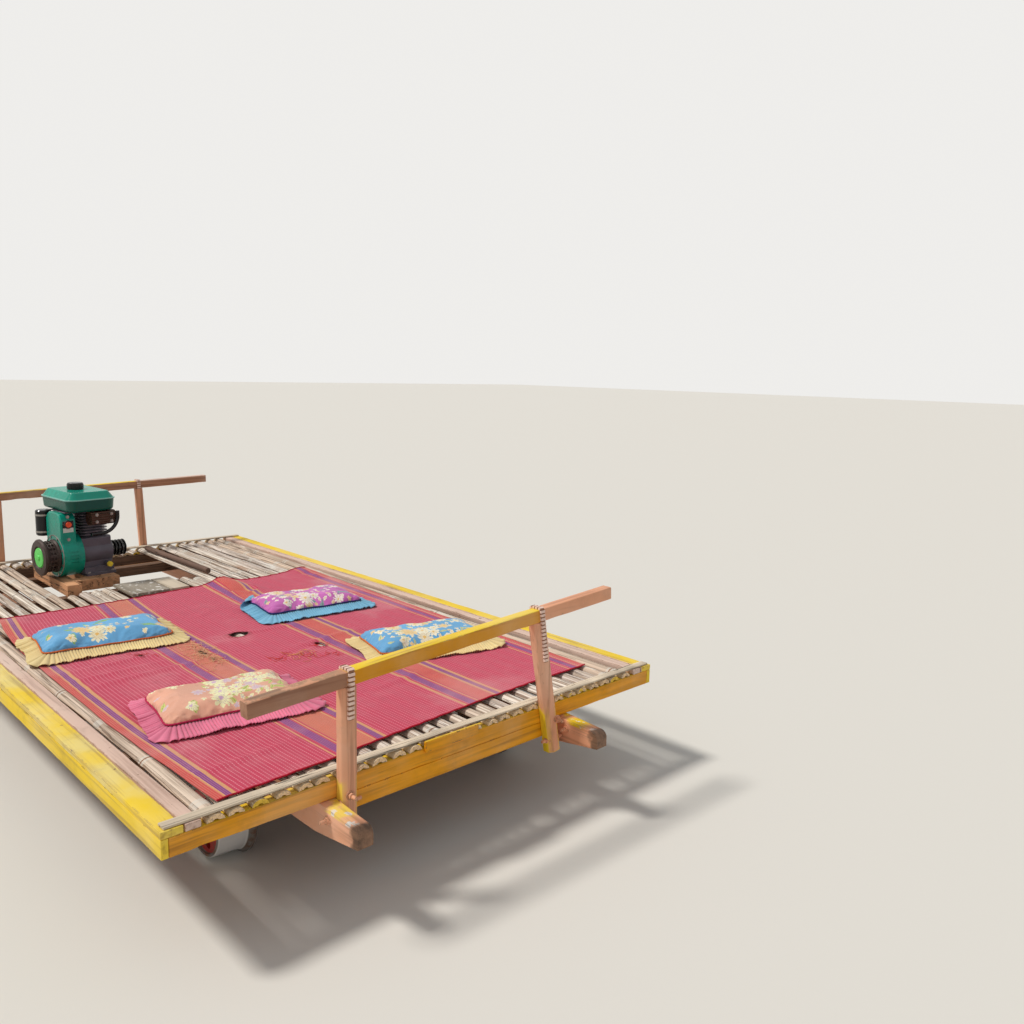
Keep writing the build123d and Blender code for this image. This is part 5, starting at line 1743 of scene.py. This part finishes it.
    def cloth(self, name, ground, centre, turn, half_x=0.0, half_y=0.0, flowers=None):
        """Thin cotton, plain or with a bunch of flowers printed on it."""
        finish = Finish(name, roughness=0.88)
        finish.surface.inputs["Sheen Weight"].default_value = 0.3
        shade = finish.mix(finish.spots(0.4, 0.7, 7.0, 5.0), dim(ground, 0.90), dim(ground, 1.10))
        if flowers:
            place = finish.local(tuple(centre), (0, 0, radians(turn)))
            shade = self.print_flowers(finish, shade, place, half_x, half_y, flowers)
        creases = finish.noise(34.0, 4.0, rough=0.6)
        # Painted shade: darker in the valleys of the wrinkles that this noise also bumps.
        shade = finish.mix(finish.band(creases, 0.45, 0.25) * 0.25, shade, dim(ground, 0.45))
        if not flowers:
            # Painted shade stored on the ruffle: darker in the pleats' valleys and under the seam.
            shade = finish.mix(finish.attribute("crease") * 0.6, shade, dim(ground, 0.42))
        finish.paint(shade)
        warp, weft = (finish.math("SINE", finish.axes()[axis] * 3600.0) for axis in (0, 1))
        finish.relief(warp * weft, 0.0002, 0.5)
        finish.relief(creases, 0.0020, 0.6)
        return finish.material

    def print_flowers(self, finish, ground, place, half_x, half_y, flowers):
        """Generic flowers printed in a loose bunch: leaf blades, small blossoms and large layered ones."""
        middle, half, dense, petal, heart, leaf = flowers
        x, y, _ = finish.axes(place)
        flat = finish.joined(x, y)
        sway = finish.value("ShaderNodeTexNoise", {"Vector": flat, "Scale": 55.0, "Detail": 4.0}, "Color")
        flat = finish.value("ShaderNodeVectorMath", {0: sway, 1: (0.017, 0.017, 0.0), 2: flat},
                            operation="MULTIPLY_ADD")
        shade = ground
        layers = ((16.0, 0.50, leaf, leaf, 0), (25.0, 0.46, leaf, leaf, 0), (41.0, 0.36, petal, heart, 5),
                  (23.0, 0.48, petal, heart, 8), (13.5, 0.42, petal, heart, 11))
        for scale, size, outer, inner, petals in layers:
            shift = (scale, scale * 0.37, 0)
            shifted = finish.value("ShaderNodeVectorMath", {0: flat, 1: shift})
            cells = finish.node("ShaderNodeTexVoronoi", {"Vector": shifted, "Scale": scale, "Randomness": 0.8},
                                voronoi_dimensions="2D")
            distance, tint, centre = finish.values(cells, "Distance", "Color", "Position")
            gap = finish.value("ShaderNodeVectorMath", {0: shifted, 1: centre}, operation="SUBTRACT")
            luck = finish.axes(tint)
            chosen = self.in_bunch(finish, centre, shift, middle, half, half_x, half_y, dense, luck[1])
            dx, dy, _ = finish.axes(gap)
            if petals:
                inside, flower = self.blossom(finish, dx, dy, distance, luck, size, petals,
                                              tone(*outer), tone(*inner))
            else:
                inside, flower = self.blade(finish, dx, dy, luck[0], scale, size, tone(*outer))
            shade = finish.mix(inside * chosen, shade, flower)
        return shade

    def in_bunch(self, finish, cell, shift, middle, half, half_x, half_y, dense, luck):
        """1 on the cells that carry a print: most of them in the bunch, few outside it."""
        x, y, _ = finish.axes(cell)
        parts = []
        for value, offset, centre, reach in ((x, shift[0], middle[0] * half_x, half[0] * half_x),
                                             (y, shift[1], middle[1] * half_y, half[1] * half_y)):
            away = (value - (offset + centre)) / reach
            parts.append(away * away)
        away = finish.math("SQRT", parts[0] + parts[1])
        chance = finish.band(away, 1.1, 0.3) * dense + 0.10
        return finish.math("GREATER_THAN", chance, luck)

    def blossom(self, finish, dx, dy, distance, luck, size, petals, outer, inner):
        """Mask and colour of one round flower with notched petals in two rings."""
        angle = (finish.math("ARCTAN2", dy, dx) + luck[0] * FULL_TURN) * (petals / 2)
        lobes = abs(finish.math("COSINE", angle))
        rim = (lobes * 0.45 + 0.55) * size
        inside = finish.band(distance - rim, 0.02, -0.02)
        folded = abs(finish.math("SINE", angle))
        ring = finish.band(distance - rim * 0.55, 0.03, -0.03)
        creases = finish.mix(ring, lobes, folded)
        share = finish.band(creases, 0.55, 0.05) * 0.7
        tinted = finish.mix(finish.band(luck[2], 0.60, 0.72) * 0.7, outer, inner)
        petal = finish.mix(share, tinted, dim(inner, 0.72))
        return inside, finish.mix(finish.band(distance, size * 0.26, size * 0.14), petal, inner)

    def blade(self, finish, dx, dy, luck, scale, size, outer):
        """Mask and colour of one pointed leaf that lies at a chance angle."""
        turn = luck * FULL_TURN
        sine, cosine = finish.math("SINE", turn), finish.math("COSINE", turn)
        along = dx * cosine + dy * sine
        across = dy * cosine - dx * sine
        long = along * (scale / size)
        wide = abs(across * (scale / (size * 0.26)))
        inside = finish.band(wide + long * long, 1.05, 0.9)
        return inside, finish.mix(finish.band(wide, 0.25, 0.1), outer, dim(outer, 0.6))


class TRAIN_OT_loose(bpy.types.Operator):
    """Loose pole and loose boards on the deck"""
    bl_idname = "train.loose"
    bl_label = "Loose timber"

    def execute(self, context):
        s = context.scene.bamboo_train.timber
        aged("tension_pole", bare_timber("pole_bark", "X", s.bark, 0.6), 0.002, 0.03, seed=21.0)

        def board_coat(finish):
            specks = finish.spots(0.56, 0.62, 34.0, 5.0, rough=0.6)
            brown = finish.mix(specks, dim(s.grey, 0.50), (0.86, 0.83, 0.78))
            return finish.mix(finish.band(finish.axes()[1], 0.011, 0.017), brown, dim(s.grey, 1.15))

        boards = timber("board_wood", "X", s.grey, dim(s.grey, 0.5), 0.4, 0.45, board_coat)
        aged("cover_board", boards, 0.002, 0.03, seed=22.0, nicks=0.005)
        return {"FINISHED"}


class TRAIN_OT_stage(bpy.types.Operator):
    """Floor, soft light and the camera at the photograph's angle"""
    bl_idname = "train.stage"
    bl_label = "Stage"

    def execute(self, context):
        s = context.scene.bamboo_train.stage
        scene = context.scene
        scene.view_settings.view_transform = "Standard"
        reach = 60.0
        floor_mesh = bpy.data.meshes.new("floor")
        corners = [(-reach, -reach, 0), (reach, -reach, 0), (reach, reach, 0), (-reach, reach, 0)]
        floor_mesh.from_pydata(corners, [], [(0, 1, 2, 3)])
        floor = bpy.data.objects.new("floor", floor_mesh)
        scene.collection.objects.link(floor)
        plain = Finish("floor", roughness=0.9)
        plain.paint(s.floor)
        floor.data.materials.append(plain.material)
        self.lights(scene, s)
        self.camera(scene, s)
        return {"FINISHED"}

    def lights(self, scene, s):
        """One large soft key light from behind the left side, and an even fill from all round."""
        lamp = bpy.data.lights.new("key", "SUN")
        lamp.energy = s.sun
        lamp.angle = radians(9)
        lamp.color = (1.0, 0.97, 0.92)
        key = bpy.data.objects.new("key", lamp)
        scene.collection.objects.link(key)
        key.rotation_euler = (-Vector((-0.40, -0.52, 0.92))).to_track_quat("-Z", "Y").to_euler()
        world = bpy.data.worlds.new("studio")
        scene.world = world
        world.use_nodes = True
        sky = Nodes(world.node_tree)
        sky.tree.nodes.clear()
        fill = sky.value("ShaderNodeBackground", {"Color": (0.93, 0.96, 1.0), "Strength": s.sky})
        seen = sky.value("ShaderNodeBackground", {"Color": (0.86, 0.85, 0.83)})
        rays = sky.values(sky.node("ShaderNodeLightPath"), "Is Camera Ray", "Is Glossy Ray")
        backdrop = sky.value("ShaderNodeMixShader", {0: sky.math("MAXIMUM", *rays), 1: fill, 2: seen})
        sky.node("ShaderNodeOutputWorld", {0: backdrop})

    def camera(self, scene, s):
        """Camera from its place, yaw, pitch and roll."""
        lens = bpy.data.cameras.new("camera")
        lens.lens = s.lens
        lens.sensor_width = 36.0
        eye = bpy.data.objects.new("camera", lens)
        scene.collection.objects.link(eye)
        ahead = Vector((cos(s.yaw) * cos(s.pitch), sin(s.yaw) * cos(s.pitch), -sin(s.pitch)))
        right = Vector((sin(s.yaw), -cos(s.yaw), 0.0))
        up = right.cross(ahead)
        rolled_right = right * cos(s.roll) + up * sin(s.roll)
        rolled_up = up * cos(s.roll) - right * sin(s.roll)
        turn = Matrix((rolled_right, rolled_up, -ahead)).transposed()
        eye.matrix_world = Matrix.Translation(Vector(s.camera)) @ turn.to_4x4()
        scene.camera = eye


class TRAIN_PT_panel(bpy.types.Panel):
    """Lists the steps and settings of the bamboo train"""
    bl_idname = "TRAIN_PT_panel"
    bl_label = "Bamboo train"
    bl_space_type = "VIEW_3D"
    bl_region_type = "UI"
    bl_category = "Bamboo train"

    def draw(self, context):
        for operator in OPERATORS:
            self.layout.operator(operator.bl_idname)
        for group in TrainSettings.__annotations__:
            box = self.layout.box()
            box.label(text=group.capitalize())
            settings = getattr(context.scene.bamboo_train, group)
            for key in type(settings).__annotations__:
                box.prop(settings, key)


GROUPS = (TimberSettings, BambooSettings, MatSettings, CushionSettings, EngineSettings, StageSettings,
          TrainSettings)
OPERATORS = (TRAIN_OT_stage, TRAIN_OT_timber, TRAIN_OT_bamboo, TRAIN_OT_rails, TRAIN_OT_running_gear,
             TRAIN_OT_engine, TRAIN_OT_mat, TRAIN_OT_cushions, TRAIN_OT_loose)


def register():
    for item in (*GROUPS, *OPERATORS, TRAIN_PT_panel):
        bpy.utils.register_class(item)
    bpy.types.Scene.bamboo_train = PointerProperty(type=TrainSettings)


def unregister():
    del bpy.types.Scene.bamboo_train
    for item in reversed((*GROUPS, *OPERATORS, TRAIN_PT_panel)):
        bpy.utils.unregister_class(item)


def main():
    register()
    for operator in OPERATORS:
        group, name = operator.bl_idname.split(".")
        getattr(getattr(bpy.ops, group), name)()


if __name__ == "__main__":
    main()
